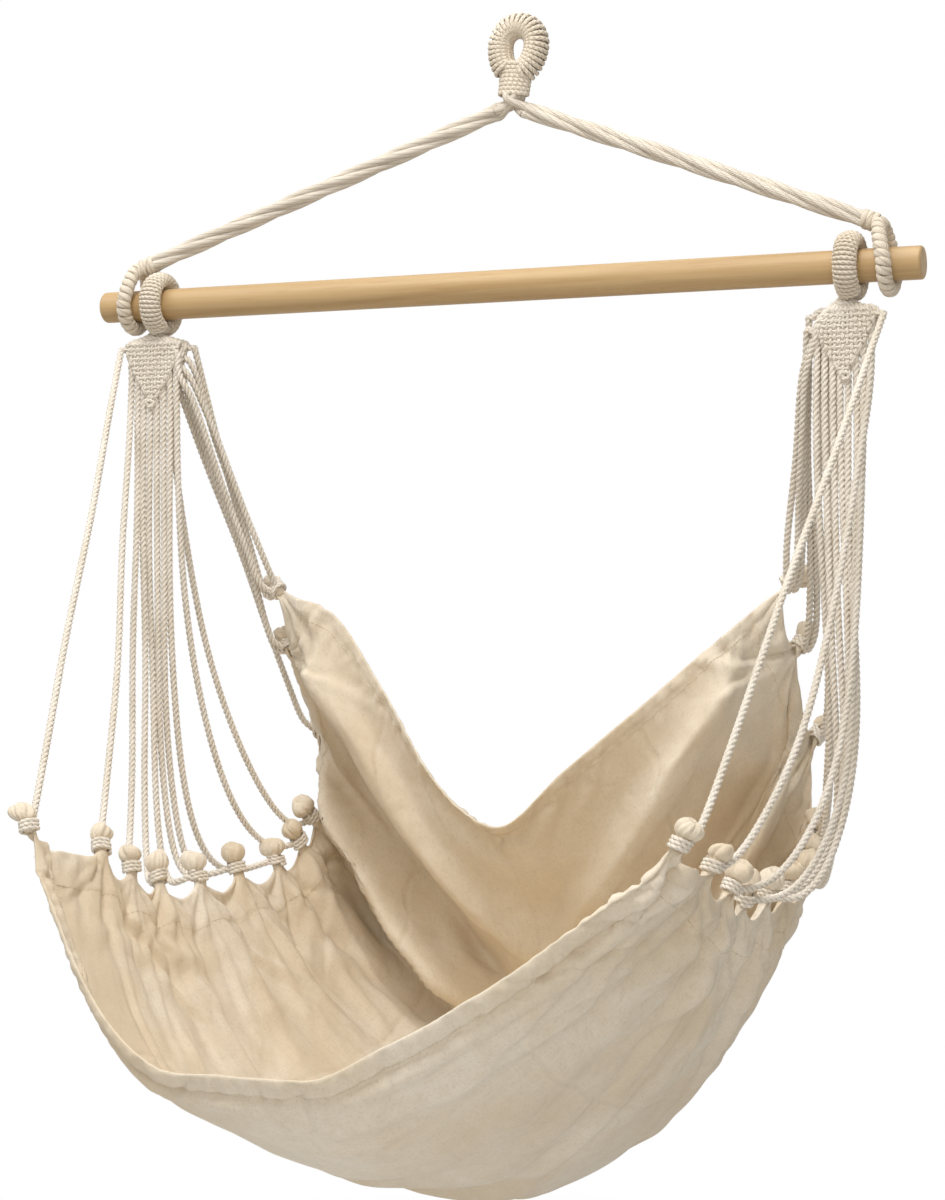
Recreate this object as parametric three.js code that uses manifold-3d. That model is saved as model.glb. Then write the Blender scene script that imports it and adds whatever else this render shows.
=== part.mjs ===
import * as THREE from 'three';
import { mergeVertices } from 'three/addons/utils/BufferGeometryUtils.js';
import Module from 'manifold-3d';

// Hanging chair: a rope yoke with a wrapped eye carries a wooden spreader bar, and two wrapped
// harness loops on the bar carry a canvas seat through sixteen ropes on each side.
// Millimetres, X along the bar, Y towards the back of the seat, Z up.
// The origin is the top of the eye's hole, where the hook bears.

const wasm = await Module();
wasm.setup();

// Fits
const gap = 0.3;                 // clearance between pieces that touch
const coreGap = 0.6;             // clearance between a core and the turns wound on it
const overrun = 1;               // how far a joined piece runs into the other

// Facets
const barSides = 20;
const coreSides = 8;             // of eye, loops and legs
const coreSteps = 24;            // once round a loop
const turnSteps = 8;             // in one turn of a winding
const turnSides = 4;             // of the wound cord
const knotSides = 6;
const ropeSides = 6;
const tautSteps = 3;             // steps between the straight ends of a taut rope
const slackSteps = 9;            // and of a slack one
const tieSides = 6;
const clothCellsAcross = 20;
const clothCells = [3, 2, 2, 2, 2, 2, 2, 2, 4, 4, 3];     // from each tie to the next
const rowSteps = 160;            // fine steps that a row of cloth is measured with
const walkSteps = 200;           // and that a loop is measured with
const angleStep = 0.001;         // radians either side of a point that its tangent is taken from

// Spreader bar
const barLength = 900;
const barDiameter = 33;
const barEndRound = 3;
const barDrop = 252;             // bar axis below the hook point
const barShift = 33;             // bar centre left of the hook point
const barRadius = barDiameter / 2;

// Hanging eye
const eyeTube = 25;
const eyeHoleWidth = 13;
const eyeHoleHeight = 23;
const eyeCord = 2.4;
const eyeTurns = 16;
const eyeBareAngle = 42 * Math.PI / 180;
const eyeLean = 8 * Math.PI / 180;
const eyeFootShare = 1.1;        // the bundle's middle lies this share of its half below the hole
const neckWidth = 33;
const neckDepth = 25;
const neckCord = 3;
const neckTurns = 4;
const neckSqueezeShare = 0.6;    // the eye's bundle thins to this share inside the neck
const crownDrop = 67;            // crown knot centre below the hook point
const knotStrandDiameter = 8;
const knotDiameter = 15;         // of the knot's two crossing turns, at their middle
const knotLean = 35 * Math.PI / 180;

// Yoke ropes and their loops round the bar
const legDiameter = 17;
const yokeLoopTube = 15;
const yokeLoopRise = 39.5;       // middle of the loop's top above the bar axis
const yokeLoopInsetLeft = 29;    // loop middle to the bar end
const yokeLoopInsetRight = 43;
const yokeLoopCord = 3;
const yokeLoopTurns = 16;
const yokeLoopBareAngle = 42 * Math.PI / 180;

// Harness loops round the bar
const harnessSpacing = 34;       // harness loop middle to yoke loop middle
const harnessTubeWidth = 25;
const harnessTubeDepth = 18.5;
const harnessCord = 3.5;
const harnessTurns = 20;
const harnessBareAngle = 18 * Math.PI / 180;
const harnessNeckWidth = 18;
const harnessNeckDepth = 10;

// Woven clews
const clewWidth = 64;
const clewHeight = 60;
const clewBackHeight = 38;       // the weave behind is shorter
const clewDepth = 27;
const clewDrop = 37.5;           // top of the clew below the bar axis

// Ropes
const ropeDiameter = 7.5;
const tautLimitShare = 1.3;      // a rope with more slack than this is drawn with more steps
const ropeRowOffset = 6.5;       // ropes leave the clew in two rows, in front and behind
const ropeRowSlots = 8;
const cornerRopeDrop = 9;        // the corner rope leaves the clew's side below its top
const innerRopeBack = 9.7;       // first of the ropes that leave the clew's inner side
const innerRopeStep = 6.4;       // each next one is this much farther in front
const innerRopeDrop = 8;
const innerRopeSpacing = 13;     // and lower

// Edge ties: gathered cloth knobs with rope turns lashed round their necks
const knobNeck = 13;
const knobNeckLength = 22;
const knobBall = 25;
const knobBallHeight = 20;
const lashingDiameter = 21;
const lashingLength = 10;
const knobUprightShare = 1;      // how far a knob stands up from the lie of the cloth
const knobSquareShare = 0.74;    // and how far it turns square to the edge
const lashingOutShare = 0.15;    // how far outwards the rope meets its lashing
const ropeRun = 11;              // straight run of a rope beside its knob
const knobCells = 3;             // a knob follows the lie of this many cells of cloth

// Seat cloth
const seatHalfWidth = 310;       // middle of the seat to its front corners
const seatReach = 443;           // bar to the middle of the front hem, seen from above
const seatDrop = 928;            // bar to the seat's lowest point
const clothThickness = 3;
const gatherSlack = 14;          // extra cloth between two ties
const scallopDepth = 10;
const gatherFold = 9;            // height of the folds below the ties
const gatherReach = 150;         // how far these folds run down the side

// Tie points of an edge from the front corner to the back corner, seen from the bar centre: place
// out from the middle, front to back and upwards, as shares of the seat's half width, reach and drop.
const tiePlaceShares = [
  { out: 1.018, back: -0.837, up: -0.597 },
  { out: 0.994, back: -0.564, up: -0.625 },
  { out: 0.994, back: -0.424, up: -0.650 },
  { out: 0.987, back: -0.305, up: -0.666 },
  { out: 0.981, back: -0.113, up: -0.670 },
  { out: 0.974, back: 0.079, up: -0.666 },
  { out: 0.955, back: 0.271, up: -0.663 },
  { out: 0.932, back: 0.379, up: -0.641 },
  { out: 0.919, back: 0.445, up: -0.610 },
  { out: 0.913, back: 0.451, up: -0.506 },
  { out: 0.919, back: 0.282, up: -0.406 },
  { out: 0.900, back: 0.205, up: -0.336 },
];

// Middle line of the seat from the front hem to the back hem, as shares of its reach and drop.
const midlineShares = [
  { back: -1.000, up: -0.810 },
  { back: -0.869, up: -0.875 },
  { back: -0.564, up: -0.940 },
  { back: -0.226, up: -0.983 },
  { back: 0.090, up: -1.000 },
  { back: 0.339, up: -0.978 },
  { back: 0.479, up: -0.911 },
  { back: 0.485, up: -0.830 },
  { back: 0.384, up: -0.744 },
  { back: 0.221, up: -0.666 },
  { back: 0.045, up: -0.598 },
];

// How a row of cloth climbs from the middle line to its tie, as shares of the climb at a
// quarter, a half and three quarters of the way out, at six places from front to back.
const climbShares = [
  { along: 0.00, left: [0.00, 0.02, 0.34], right: [0.17, 0.40, 0.69], back: [0.06, 0.25, 0.56] },
  { along: 0.20, left: [0.07, 0.21, 0.50], right: [0.11, 0.33, 0.62], back: [0.04, 0.20, 0.52] },
  { along: 0.45, left: [0.11, 0.32, 0.59], right: [0.07, 0.25, 0.54], back: [0.02, 0.12, 0.42] },
  { along: 0.68, left: [0.11, 0.31, 0.56], right: [0.07, 0.25, 0.54], back: [0.02, 0.12, 0.42] },
  { along: 0.84, left: [0.12, 0.38, 0.66], right: [0.13, 0.37, 0.64], back: [0.05, 0.22, 0.50] },
  { along: 1.00, left: [0.17, 0.57, 0.92], right: [0.24, 0.49, 0.75], back: [0.15, 0.40, 0.70] },
];

// Long folds from the back ties down to the seat: the tie that a fold starts at, counted from
// the front, the share of the half width and of the length where it dies out, its height as a
// share of the highest fold's and its width as a share of the widest one's. A negative height is
// a valley.
const foldHeight = 60;
const foldHalfWidth = 50;
const foldShares = [
  { tie: 10.6, endOut: 0.10, endAlong: 0.80, height: 0.57, width: 1.00 },
  { tie: 8.9, endOut: 0.36, endAlong: 0.68, height: 1.00, width: 0.76 },
  { tie: 9.75, endOut: 0.25, endAlong: 0.745, height: -0.50, width: 0.68 },
  { tie: 7.9, endOut: 0.42, endAlong: 0.61, height: -0.60, width: 0.80 },
];
const foldLiftShare = 0.25;      // a fold lifts the cloth by this share of its height
const foldStartShare = 0.25;     // it swells over this share of its run from the tie,
const foldFadeShare = 0.85;      // fades from here
const foldEndShare = 1.35;       // and ends here
const rowLeanShare = 0.16;       // rows of cloth lean forwards by up to this share of the length
const leanStartShare = 0.3;      // from here,
const leanFullShare = 0.64;      // fully from here,
const leanFadeShare = 0.94;      // and less from here to the back hem

// Ropes of one side by where they leave the clew: the tie, which face of the lashing a rope
// meets, how rounded its slack is and how far it hangs below its straight run, as a share of
// the deepest. Each group runs from the outer side inwards, or down the clew's side.
const ropeDip = 14;
const ropeGroups = {
  outerSide: [
    { tie: 0, face: 0, slackShare: 1.0, dipShare: 0 },
  ],
  frontFoot: [
    { tie: 1, face: 0, slackShare: 1.2, dipShare: 0.43 },
    { tie: 2, face: 0, slackShare: 1.8, dipShare: 0.57 },
    { tie: 3, face: 0, slackShare: 2.2, dipShare: 0.71 },
    { tie: 4, face: 1, slackShare: 2.9, dipShare: 1.00 },
    { tie: 4, face: -1, slackShare: 3.2, dipShare: 0.71 },
    { tie: 5, face: 0, slackShare: 3.0, dipShare: 0.86 },
    { tie: 6, face: 0, slackShare: 3.2, dipShare: 0.71 },
    { tie: 7, face: 0, slackShare: 1.6, dipShare: 0 },
  ],
  backFoot: [
    { tie: 8, face: 0, slackShare: 1.35, dipShare: 0 },
    { tie: 9, face: 0, slackShare: 1.0, dipShare: 0 },
    { tie: 10, face: -1, slackShare: 1.0, dipShare: 0 },
  ],
  innerSide: [
    { tie: 10, face: 0, slackShare: 1.0, dipShare: 0 },
    { tie: 11, face: -1, slackShare: 1.0, dipShare: 0 },
    { tie: 11, face: 1, slackShare: 1.0, dipShare: 0 },
    { tie: 11, face: 0, slackShare: 1.0, dipShare: 0 },
  ],
};
const ropes = Object.entries(ropeGroups).flatMap(([leaves, group]) => (
  group.map((rope, place) => ({ ...rope, leaves, place }))));

// Materials
function finish(colour, roughness) {
  return new THREE.MeshStandardMaterial({ color: colour, roughness, metalness: 0 });
}
const woodFinish = () => finish('#d3a868', 0.5);
const ropeFinish = () => finish('#cdbca6', 0.95);
const cordFinish = () => finish('#ded2c0', 0.95);
const clothFinish = () => finish('#e3d3b8', 0.9);

const model = new THREE.Group();
const barCentre = new THREE.Group();
barCentre.position.set(-barShift, 0, -barDrop);
model.add(barCentre);

function addPiece(parent, name, geometry, material) {
  const mesh = new THREE.Mesh(geometry, material);
  mesh.name = name;
  parent.add(mesh);
  return mesh;
}

const vec = (x, y, z) => new THREE.Vector3(x, y, z);

// Closed triangle mesh with its faces turned outwards.
function closedGeometry(points, faces) {
  let volume = 0;
  for (const [a, b, c] of faces) {
    volume += points[a].dot(points[b].clone().cross(points[c]));
  }
  const turned = volume > 0 ? faces : faces.map(([a, b, c]) => [a, c, b]);
  const geometry = new THREE.BufferGeometry();
  geometry.setFromPoints(points);
  geometry.setIndex(turned.flat());
  geometry.computeVertexNormals();
  return geometry;
}

// Section carried along stations; each station has a middle and two axes.
function sweep(stations, section, closed) {
  const sides = section.length;
  const points = [];
  for (const { middle, first, second } of stations) {
    for (const [a, b] of section) {
      points.push(middle.clone().addScaledVector(first, a).addScaledVector(second, b));
    }
  }
  const faces = [];
  const spans = closed ? stations.length : stations.length - 1;
  for (let i = 0; i < spans; i += 1) {
    const next = (i + 1) % stations.length;
    for (let j = 0; j < sides; j += 1) {
      const k = (j + 1) % sides;
      faces.push([i * sides + j, i * sides + k, next * sides + k]);
      faces.push([i * sides + j, next * sides + k, next * sides + j]);
    }
  }
  if (!closed) {
    const last = (stations.length - 1) * sides;
    for (let j = 1; j < sides - 1; j += 1) {
      faces.push([0, j + 1, j]);
      faces.push([last, last + j, last + j + 1]);
    }
  }
  return closedGeometry(points, faces);
}

function ellipseSection(halfWidth, halfDepth, sides, phase = 0) {
  return Array.from({ length: sides }, (_, i) => {
    const angle = phase + i * 2 * Math.PI / sides;
    return [halfWidth * Math.cos(angle), halfDepth * Math.sin(angle)];
  });
}

function toManifold(geometry) {
  const bare = geometry.index ? geometry.clone() : geometry;
  bare.deleteAttribute('normal');
  bare.deleteAttribute('uv');
  const merged = mergeVertices(bare);
  return new wasm.Manifold(new wasm.Mesh({
    numProp: 3,
    vertProperties: Float32Array.from(merged.attributes.position.array),
    triVerts: Uint32Array.from(merged.index.array),
  }));
}

function join(...geometries) {
  const solid = geometries.map(toManifold).reduce((whole, next) => whole.add(next));
  const { vertProperties, triVerts } = solid.getMesh();
  const geometry = new THREE.BufferGeometry();
  geometry.setAttribute('position', new THREE.BufferAttribute(Float32Array.from(vertProperties), 3));
  geometry.setIndex(Array.from(triVerts));
  geometry.computeVertexNormals();
  return geometry;
}

// A loop's middle line lies in the plane of up and side; the angle runs from the loop's bottom.
function loopPoint(loop, angle) {
  const low = Math.cos(angle) > 0;
  const rise = -Math.cos(angle) * (low ? loop.below : loop.above);
  const reach = Math.sin(angle) * loop.half;
  const middle = loop.centre.clone();
  return middle.addScaledVector(loop.up, rise).addScaledVector(loop.side, reach);
}

function loopStation(loop, angle) {
  const ahead = loopPoint(loop, angle + angleStep);
  const tangent = ahead.sub(loopPoint(loop, angle - angleStep)).normalize();
  const across = loop.side.clone().cross(loop.up).normalize();
  const outward = tangent.clone().cross(across).normalize();
  const middle = loopPoint(loop, angle);
  if (outward.dot(middle.clone().sub(loop.centre)) < 0) {
    outward.negate();
  }
  return { middle, first: outward, second: across, tangent };
}

// Half size of the core that a winding of this cord leaves room for.
function coreHalf(outerHalf, cord) {
  const cordInner = cord / 2 * Math.cos(Math.PI / turnSides);
  return outerHalf - cord / 2 - (cordInner + coreGap) / Math.cos(Math.PI / turnSteps);
}

// Closed core of a loop. Its section thins towards the loop's bottom where a squeeze is given.
function loopCore(loop, halfDepth, halfWidth, cord, squeezeShare = 1) {
  const stations = Array.from({ length: coreSteps }, (_, i) => {
    const angle = (i + 0.5) * 2 * Math.PI / coreSteps;
    const station = loopStation(loop, angle);
    const near = THREE.MathUtils.smoothstep(Math.cos(angle), Math.cos(eyeBareAngle), 1);
    const scale = 1 - (1 - squeezeShare) * near;
    station.first.multiplyScalar(scale);
    station.second.multiplyScalar(scale);
    return station;
  });
  const section = ellipseSection(coreHalf(halfDepth, cord), coreHalf(halfWidth, cord), coreSides);
  return sweep(stations, section, true);
}

// Carrier that walks a loop from one angle to the other, even along its inner side, where the
// turns lie closest.
function evenWalk(loop, start, end, inwards) {
  const angles = [start];
  const lengths = [0];
  const innerPoint = (angle) => {
    const { middle, first } = loopStation(loop, angle);
    return middle.addScaledVector(first, -inwards);
  };
  for (let i = 1; i <= walkSteps; i += 1) {
    angles.push(start + (end - start) * i / walkSteps);
    const span = innerPoint(angles[i]).distanceTo(innerPoint(angles[i - 1]));
    lengths.push(lengths[i - 1] + span);
  }
  return (share) => loopStation(loop, linearAt(lengths, angles, share * lengths[walkSteps]));
}

function leastGap(stations, cord) {
  let least = Infinity;
  for (let i = 0; i < stations.length; i += 1) {
    for (let j = i + turnSteps - 2; j < stations.length; j += 1) {
      least = Math.min(least, stations[i].middle.distanceTo(stations[j].middle));
    }
  }
  return least - cord;
}

// One unbroken cord wound round a carrier. The carrier gives a station at each share of its
// length; the two ends leave along the given directions for the given lengths.
function winding(name, carrier, turns, halfDepth, halfWidth, cord, ends) {
  const count = turns * turnSteps;
  const stations = [];
  for (let i = 0; i <= count; i += 1) {
    const { middle, first, second } = carrier(i / count);
    const angle = i * 2 * Math.PI / turnSteps;
    const out = first.clone().multiplyScalar(Math.cos(angle));
    out.addScaledVector(second, Math.sin(angle));
    const point = middle.clone();
    point.addScaledVector(first, (halfDepth - cord / 2) * Math.cos(angle));
    point.addScaledVector(second, (halfWidth - cord / 2) * Math.sin(angle));
    stations.push({ middle: point, out });
  }
  const head = stations[0];
  const tail = stations[count];
  const headEnd = head.middle.clone().addScaledVector(ends.headWay, ends.length);
  const tailEnd = tail.middle.clone().addScaledVector(ends.tailWay, ends.length);
  const path = [{ middle: headEnd, out: head.out }, ...stations, { middle: tailEnd, out: tail.out }];
  path.forEach((station, i) => {
    const before = path[Math.max(i - 1, 0)].middle;
    const after = path[Math.min(i + 1, path.length - 1)].middle;
    const tangent = after.clone().sub(before).normalize();
    const out = station.out.clone().addScaledVector(tangent, -station.out.dot(tangent)).normalize();
    station.first = out;
    station.second = tangent.clone().cross(out);
  });
  console.log(`${name}: least gap between turns ${leastGap(stations, cord).toFixed(2)} mm`);
  return sweep(path, ellipseSection(cord / 2, cord / 2, turnSides, Math.PI / turnSides), false);
}

// Hanging eye, its neck and the crown knot
const eye = new THREE.Group();
eye.rotation.y = eyeLean;
model.add(eye);

const eyeHalf = (eyeHoleWidth + eyeTube) / 2;
const eyeLoop = {
  centre: vec(0, 0, -eyeHoleWidth / 2),
  up: vec(0, 0, 1),
  side: vec(1, 0, 0),
  half: eyeHalf,
  above: eyeHalf,
  below: eyeHoleHeight - eyeHoleWidth / 2 + eyeTube / 2 * eyeFootShare,
};
const crownHeight = crownDrop / Math.cos(eyeLean);
const knotReach = (knotDiameter + knotStrandDiameter) / 2;
const neckFoot = -crownHeight + knotReach + gap;
const neckHead = eyeLoop.centre.z - eyeLoop.below;

function neckStation(height) {
  return { middle: vec(0, 0, height), first: vec(0, 1, 0), second: vec(1, 0, 0) };
}

function makeEye() {
  const ring = loopCore(eyeLoop, eyeTube / 2, eyeTube / 2, eyeCord, neckSqueezeShare);
  const neckCore = sweep(
    [neckStation(neckFoot), neckStation(neckHead)],
    ellipseSection(coreHalf(neckDepth / 2, neckCord), coreHalf(neckWidth / 2, neckCord), coreSides),
    false,
  );
  addPiece(eye, 'hanging_eye_core', join(ring, neckCore), ropeFinish());

  const eyeInner = (eyeTube - eyeCord) / 2;
  const turnAt = evenWalk(eyeLoop, eyeBareAngle, 2 * Math.PI - eyeBareAngle, eyeInner);
  const whipping = winding('hanging_eye_whipping', turnAt, eyeTurns, eyeTube / 2, eyeTube / 2, eyeCord, {
    headWay: turnAt(0).tangent.negate(),
    tailWay: turnAt(1).tangent,
    length: eyeCord,
  });
  addPiece(eye, 'hanging_eye_whipping', whipping, cordFinish());

  const lowTurn = neckFoot + neckCord / 2;
  const highTurn = neckHead - neckCord;
  const neckAt = (share) => neckStation(lowTurn + share * (highTurn - lowTurn));
  const neckWhipping = winding('neck_whipping', neckAt, neckTurns, neckDepth / 2, neckWidth / 2, neckCord, {
    headWay: vec(-1, 0, 0),
    tailWay: vec(1, 0, 0),
    length: neckCord,
  });
  addPiece(eye, 'neck_whipping', neckWhipping, cordFinish());
}

function knotTurn(lean) {
  const turn = new THREE.TorusGeometry(knotDiameter / 2, knotStrandDiameter / 2, knotSides, coreSteps / 2);
  turn.rotateX(Math.PI / 2);
  turn.rotateY(lean);
  return turn;
}

function makeCrownKnot() {
  const core = new THREE.IcosahedronGeometry(knotDiameter / 2, 0);
  const knot = join(core, knotTurn(knotLean), knotTurn(-knotLean));
  const piece = addPiece(eye, 'crown_knot', knot, ropeFinish());
  piece.position.set(0, 0, -crownHeight);
}

// Yoke ropes: a leg from the crown knot that ends in a loop under the bar
const crown = vec(
  barShift - crownHeight * Math.sin(eyeLean),
  0,
  barDrop - crownHeight * Math.cos(eyeLean),
);

// Loop round the bar at this place, of this tube, whose top rises this high over the bar axis
function barLoop(x, tube, above) {
  const half = barRadius + gap + tube / 2;
  return { centre: vec(x, 0, 0), up: vec(0, 0, 1), side: vec(0, 1, 0), half, below: half, above };
}

function makeYokeRope(sideName, x) {
  const loop = barLoop(x, yokeLoopTube, yokeLoopRise);
  const half = yokeLoopTube / 2;
  const foot = vec(x, 0, yokeLoopRise);
  const way = crown.clone().sub(foot).normalize();
  const head = crown.clone().addScaledVector(way, -(knotReach + gap));
  const across = vec(0, 1, 0);
  const upright = way.clone().cross(across).normalize();
  const station = (middle) => ({ middle, first: upright, second: across });
  const section = ellipseSection(legDiameter / 2, legDiameter / 2, coreSides, Math.PI / coreSides);
  const leg = sweep([station(foot), station(head)], section, false);
  const core = loopCore(loop, half, half, yokeLoopCord);
  addPiece(barCentre, `yoke_rope_${sideName}`, join(core, leg), ropeFinish());

  const start = -Math.PI + yokeLoopBareAngle;
  const turnAt = evenWalk(loop, start, -start, half - yokeLoopCord / 2);
  const name = `yoke_loop_whipping_${sideName}`;
  const whipping = winding(name, turnAt, yokeLoopTurns, half, half, yokeLoopCord, {
    headWay: turnAt(0).tangent.negate(),
    tailWay: turnAt(1).tangent,
    length: yokeLoopCord,
  });
  addPiece(barCentre, name, whipping, cordFinish());
}

// Spreader bar
function makeBar() {
  const end = barLength / 2;
  const profile = [new THREE.Vector2(0, -end)];
  const cornerSteps = 2;
  for (const side of [-1, 1]) {
    for (let i = 0; i <= cornerSteps; i += 1) {
      const angle = (side < 0 ? i : cornerSteps - i) * Math.PI / 2 / cornerSteps;
      profile.push(new THREE.Vector2(
        barRadius - barEndRound + barEndRound * Math.sin(angle),
        side * (end - barEndRound + barEndRound * Math.cos(angle)),
      ));
    }
  }
  profile.push(new THREE.Vector2(0, end));
  const bar = new THREE.LatheGeometry(profile, barSides);
  bar.rotateZ(-Math.PI / 2);
  addPiece(barCentre, 'spreader_bar', bar, woodFinish());
}

// Harness loops: they hang round the bar and end in a neck on top of the clew
function makeHarnessLoop(sideName, x) {
  const half = barRadius + gap + harnessTubeDepth / 2;
  const loop = barLoop(x, harnessTubeDepth, half);
  const ring = loopCore(loop, harnessTubeDepth / 2, harnessTubeWidth / 2, harnessCord);
  const neckAt = (z) => ({ middle: vec(x, 0, z), first: vec(1, 0, 0), second: vec(0, 1, 0) });
  const neck = sweep(
    [neckAt(-half), neckAt(-clewDrop + gap)],
    ellipseSection(harnessNeckWidth / 2, harnessNeckDepth / 2, coreSides, Math.PI / coreSides),
    false,
  );
  addPiece(barCentre, `harness_loop_core_${sideName}`, join(ring, neck), ropeFinish());

  const start = harnessBareAngle;
  const turnAt = (share) => loopStation(loop, start + 2 * (Math.PI - start) * share);
  const name = `harness_loop_whipping_${sideName}`;
  const lowest = (half + harnessTubeDepth / 2 - harnessCord / 2) * Math.cos(start);
  const whipping = winding(
    name, turnAt, harnessTurns, harnessTubeDepth / 2, harnessTubeWidth / 2, harnessCord,
    { headWay: vec(0, 0, -1), tailWay: vec(0, 0, -1), length: clewDrop - gap - lowest },
  );
  addPiece(barCentre, name, whipping, cordFinish());
}

// Clew: a thick block in front and a shorter one behind, seen from the side as a step
function makeClew(sideName, x) {
  const half = clewDepth / 2;
  const outline = [
    [-half, 0], [-half, -clewHeight], [0, -clewHeight],
    [0, -clewBackHeight], [half, -clewBackHeight], [half, 0],
  ].map(([back, up]) => new THREE.Vector2(back, up));
  const clew = new THREE.ExtrudeGeometry(new THREE.Shape(outline), { depth: clewWidth, bevelEnabled: false });
  clew.rotateX(Math.PI / 2);
  clew.rotateZ(Math.PI / 2);
  clew.translate(x - clewWidth / 2, 0, -clewDrop);
  addPiece(barCentre, `clew_${sideName}`, clew, ropeFinish());
}

// Where a rope leaves the clew and which way it goes there
function clewExit(rope, x, side) {
  const outwards = vec(side, 0, 0);
  const down = vec(0, 0, -1);
  if (rope.leaves === 'outerSide') {
    const edge = x + side * clewWidth / 2;
    return { point: vec(edge, -ropeRowOffset, -clewDrop - cornerRopeDrop), way: outwards };
  }
  if (rope.leaves === 'innerSide') {
    const edge = x - side * clewWidth / 2;
    const drop = clewDrop + innerRopeDrop + rope.place * innerRopeSpacing;
    return { point: vec(edge, innerRopeBack - rope.place * innerRopeStep, -drop), way: outwards.negate() };
  }
  const behind = rope.leaves === 'backFoot';
  const slot = behind ? ropeRowSlots - ropeGroups.backFoot.length + rope.place : rope.place;
  const out = clewWidth / 2 - (slot + 0.5) * clewWidth / ropeRowSlots;
  return behind
    ? { point: vec(x + side * out, ropeRowOffset, -clewDrop - clewBackHeight), way: down }
    : { point: vec(x + side * out, -ropeRowOffset, -clewDrop - clewHeight), way: down };
}

// Seat cloth
const catmull = (a, b, c, d, t) => 0.5 * (2 * b + (c - a) * t
  + (2 * a - 5 * b + 4 * c - d) * t * t + (3 * b - a - 3 * c + d) * t * t * t);

function smoothAt(values, share) {
  const spans = values.length - 1;
  const place = Math.min(Math.max(share, 0), 1) * spans;
  const i = Math.min(Math.floor(place), spans - 1);
  const first = i > 0 ? values[i - 1] : 2 * values[0] - values[1];
  const last = i + 2 <= spans ? values[i + 2] : 2 * values[spans] - values[spans - 1];
  return catmull(first, values[i], values[i + 1], last, place - i);
}

function linearAt(places, values, place) {
  let i = 0;
  while (i < places.length - 2 && place > places[i + 1]) {
    i += 1;
  }
  const t = (place - places[i]) / (places[i + 1] - places[i]);
  return values[i] + (values[i + 1] - values[i]) * Math.min(Math.max(t, 0), 1);
}

const ties = tiePlaceShares.map(({ out, back, up }) => (
  { out: out * seatHalfWidth, back: back * seatReach, up: up * seatDrop }));
const midline = midlineShares.map(({ back, up }) => ({ back: back * seatReach, up: up * seatDrop }));
const tieSpans = ties.slice(1).map((tie, i) => (
  Math.hypot(tie.out - ties[i].out, tie.back - ties[i].back, tie.up - ties[i].up) + gatherSlack));
const clothLength = tieSpans.reduce((sum, span) => sum + span, 0);
const tieShares = ties.map((_, i) => (
  tieSpans.slice(0, i).reduce((sum, span) => sum + span, 0) / clothLength));
const tieNumbers = ties.map((_, i) => i);

// Share of its climb that a row has made at this share of the way out
function climb(along, out, column) {
  const places = climbShares.map((row) => row.along);
  const inner = [0, 1, 2].map((i) => linearAt(places, climbShares.map((row) => row[column][i]), along));
  const values = [0, ...inner, 1];
  const place = out * (values.length - 1);
  return place < 1 ? catmull(values[1], values[0], values[1], values[2], place) : smoothAt(values, out);
}

// One row of cloth from the left edge to the right edge, as evenly spaced points
function clothRow(along, cells) {
  const tieNumber = linearAt(tieShares, tieNumbers, along);
  const scallop = scallopDepth * Math.sin(Math.PI * tieNumber) ** 2;
  const edge = (key) => linearAt(tieShares, ties.map((tie) => tie[key]), along);
  const out = edge('out');
  const back = edge('back');
  const up = edge('up') - scallop;
  const middleBack = smoothAt(midline.map((point) => point.back), along);
  const middleUp = smoothAt(midline.map((point) => point.up), along);
  const points = [];
  for (let i = 0; i <= rowSteps; i += 1) {
    const reach = Math.sin((i / rowSteps * 2 - 1) * Math.PI / 2);
    const share = Math.abs(reach);
    let fold = 0;
    for (const { tie, endOut, endAlong, height, width } of foldShares) {
      const start = linearAt(tieNumbers, tieShares, tie);
      const run = (1 - share) / (1 - endOut);
      const off = (along - start - run * (endAlong - start)) * clothLength / (width * foldHalfWidth);
      const fadeIn = THREE.MathUtils.smoothstep(run, 0, foldStartShare);
      const fadeOut = 1 - THREE.MathUtils.smoothstep(run, foldFadeShare, foldEndShare);
      fold += foldHeight * height * Math.exp(-off * off) * fadeIn * fadeOut;
    }
    points.push(vec(
      out * reach,
      middleBack + (back - middleBack) * climb(along, share, 'back') - fold,
      middleUp + (up - middleUp) * climb(along, share, reach < 0 ? 'left' : 'right')
        + foldLiftShare * fold,
    ));
  }
  const curve = new THREE.CatmullRomCurve3(points);
  curve.arcLengthDivisions = rowSteps;
  return { points: curve.getSpacedPoints(cells), length: curve.getLength(), tieNumber };
}

// Places of the rows along the edge, with one at every tie
function rowShares() {
  const shares = [0];
  clothCells.forEach((cells, i) => {
    for (let k = 1; k <= cells; k += 1) {
      shares.push(tieShares[i] + (tieShares[i + 1] - tieShares[i]) * k / cells);
    }
  });
  return shares;
}

// Towards the middle the rows in the back lean forwards, the way the long folds run.
function leaningShare(share, out) {
  const grown = THREE.MathUtils.smoothstep(share, leanStartShare, leanFullShare);
  const faded = THREE.MathUtils.smoothstep(share, leanFadeShare, 1);
  return share - rowLeanShare * grown * (1 - faded) * (1 - out);
}

function clothNormals(grid) {
  return grid.map((row, j) => row.map((_, i) => {
    const across = row[Math.min(i + 1, row.length - 1)].clone().sub(row[Math.max(i - 1, 0)]);
    const along = grid[Math.min(j + 1, grid.length - 1)][i].clone().sub(grid[Math.max(j - 1, 0)][i]);
    return across.cross(along).normalize();
  }));
}

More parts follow.
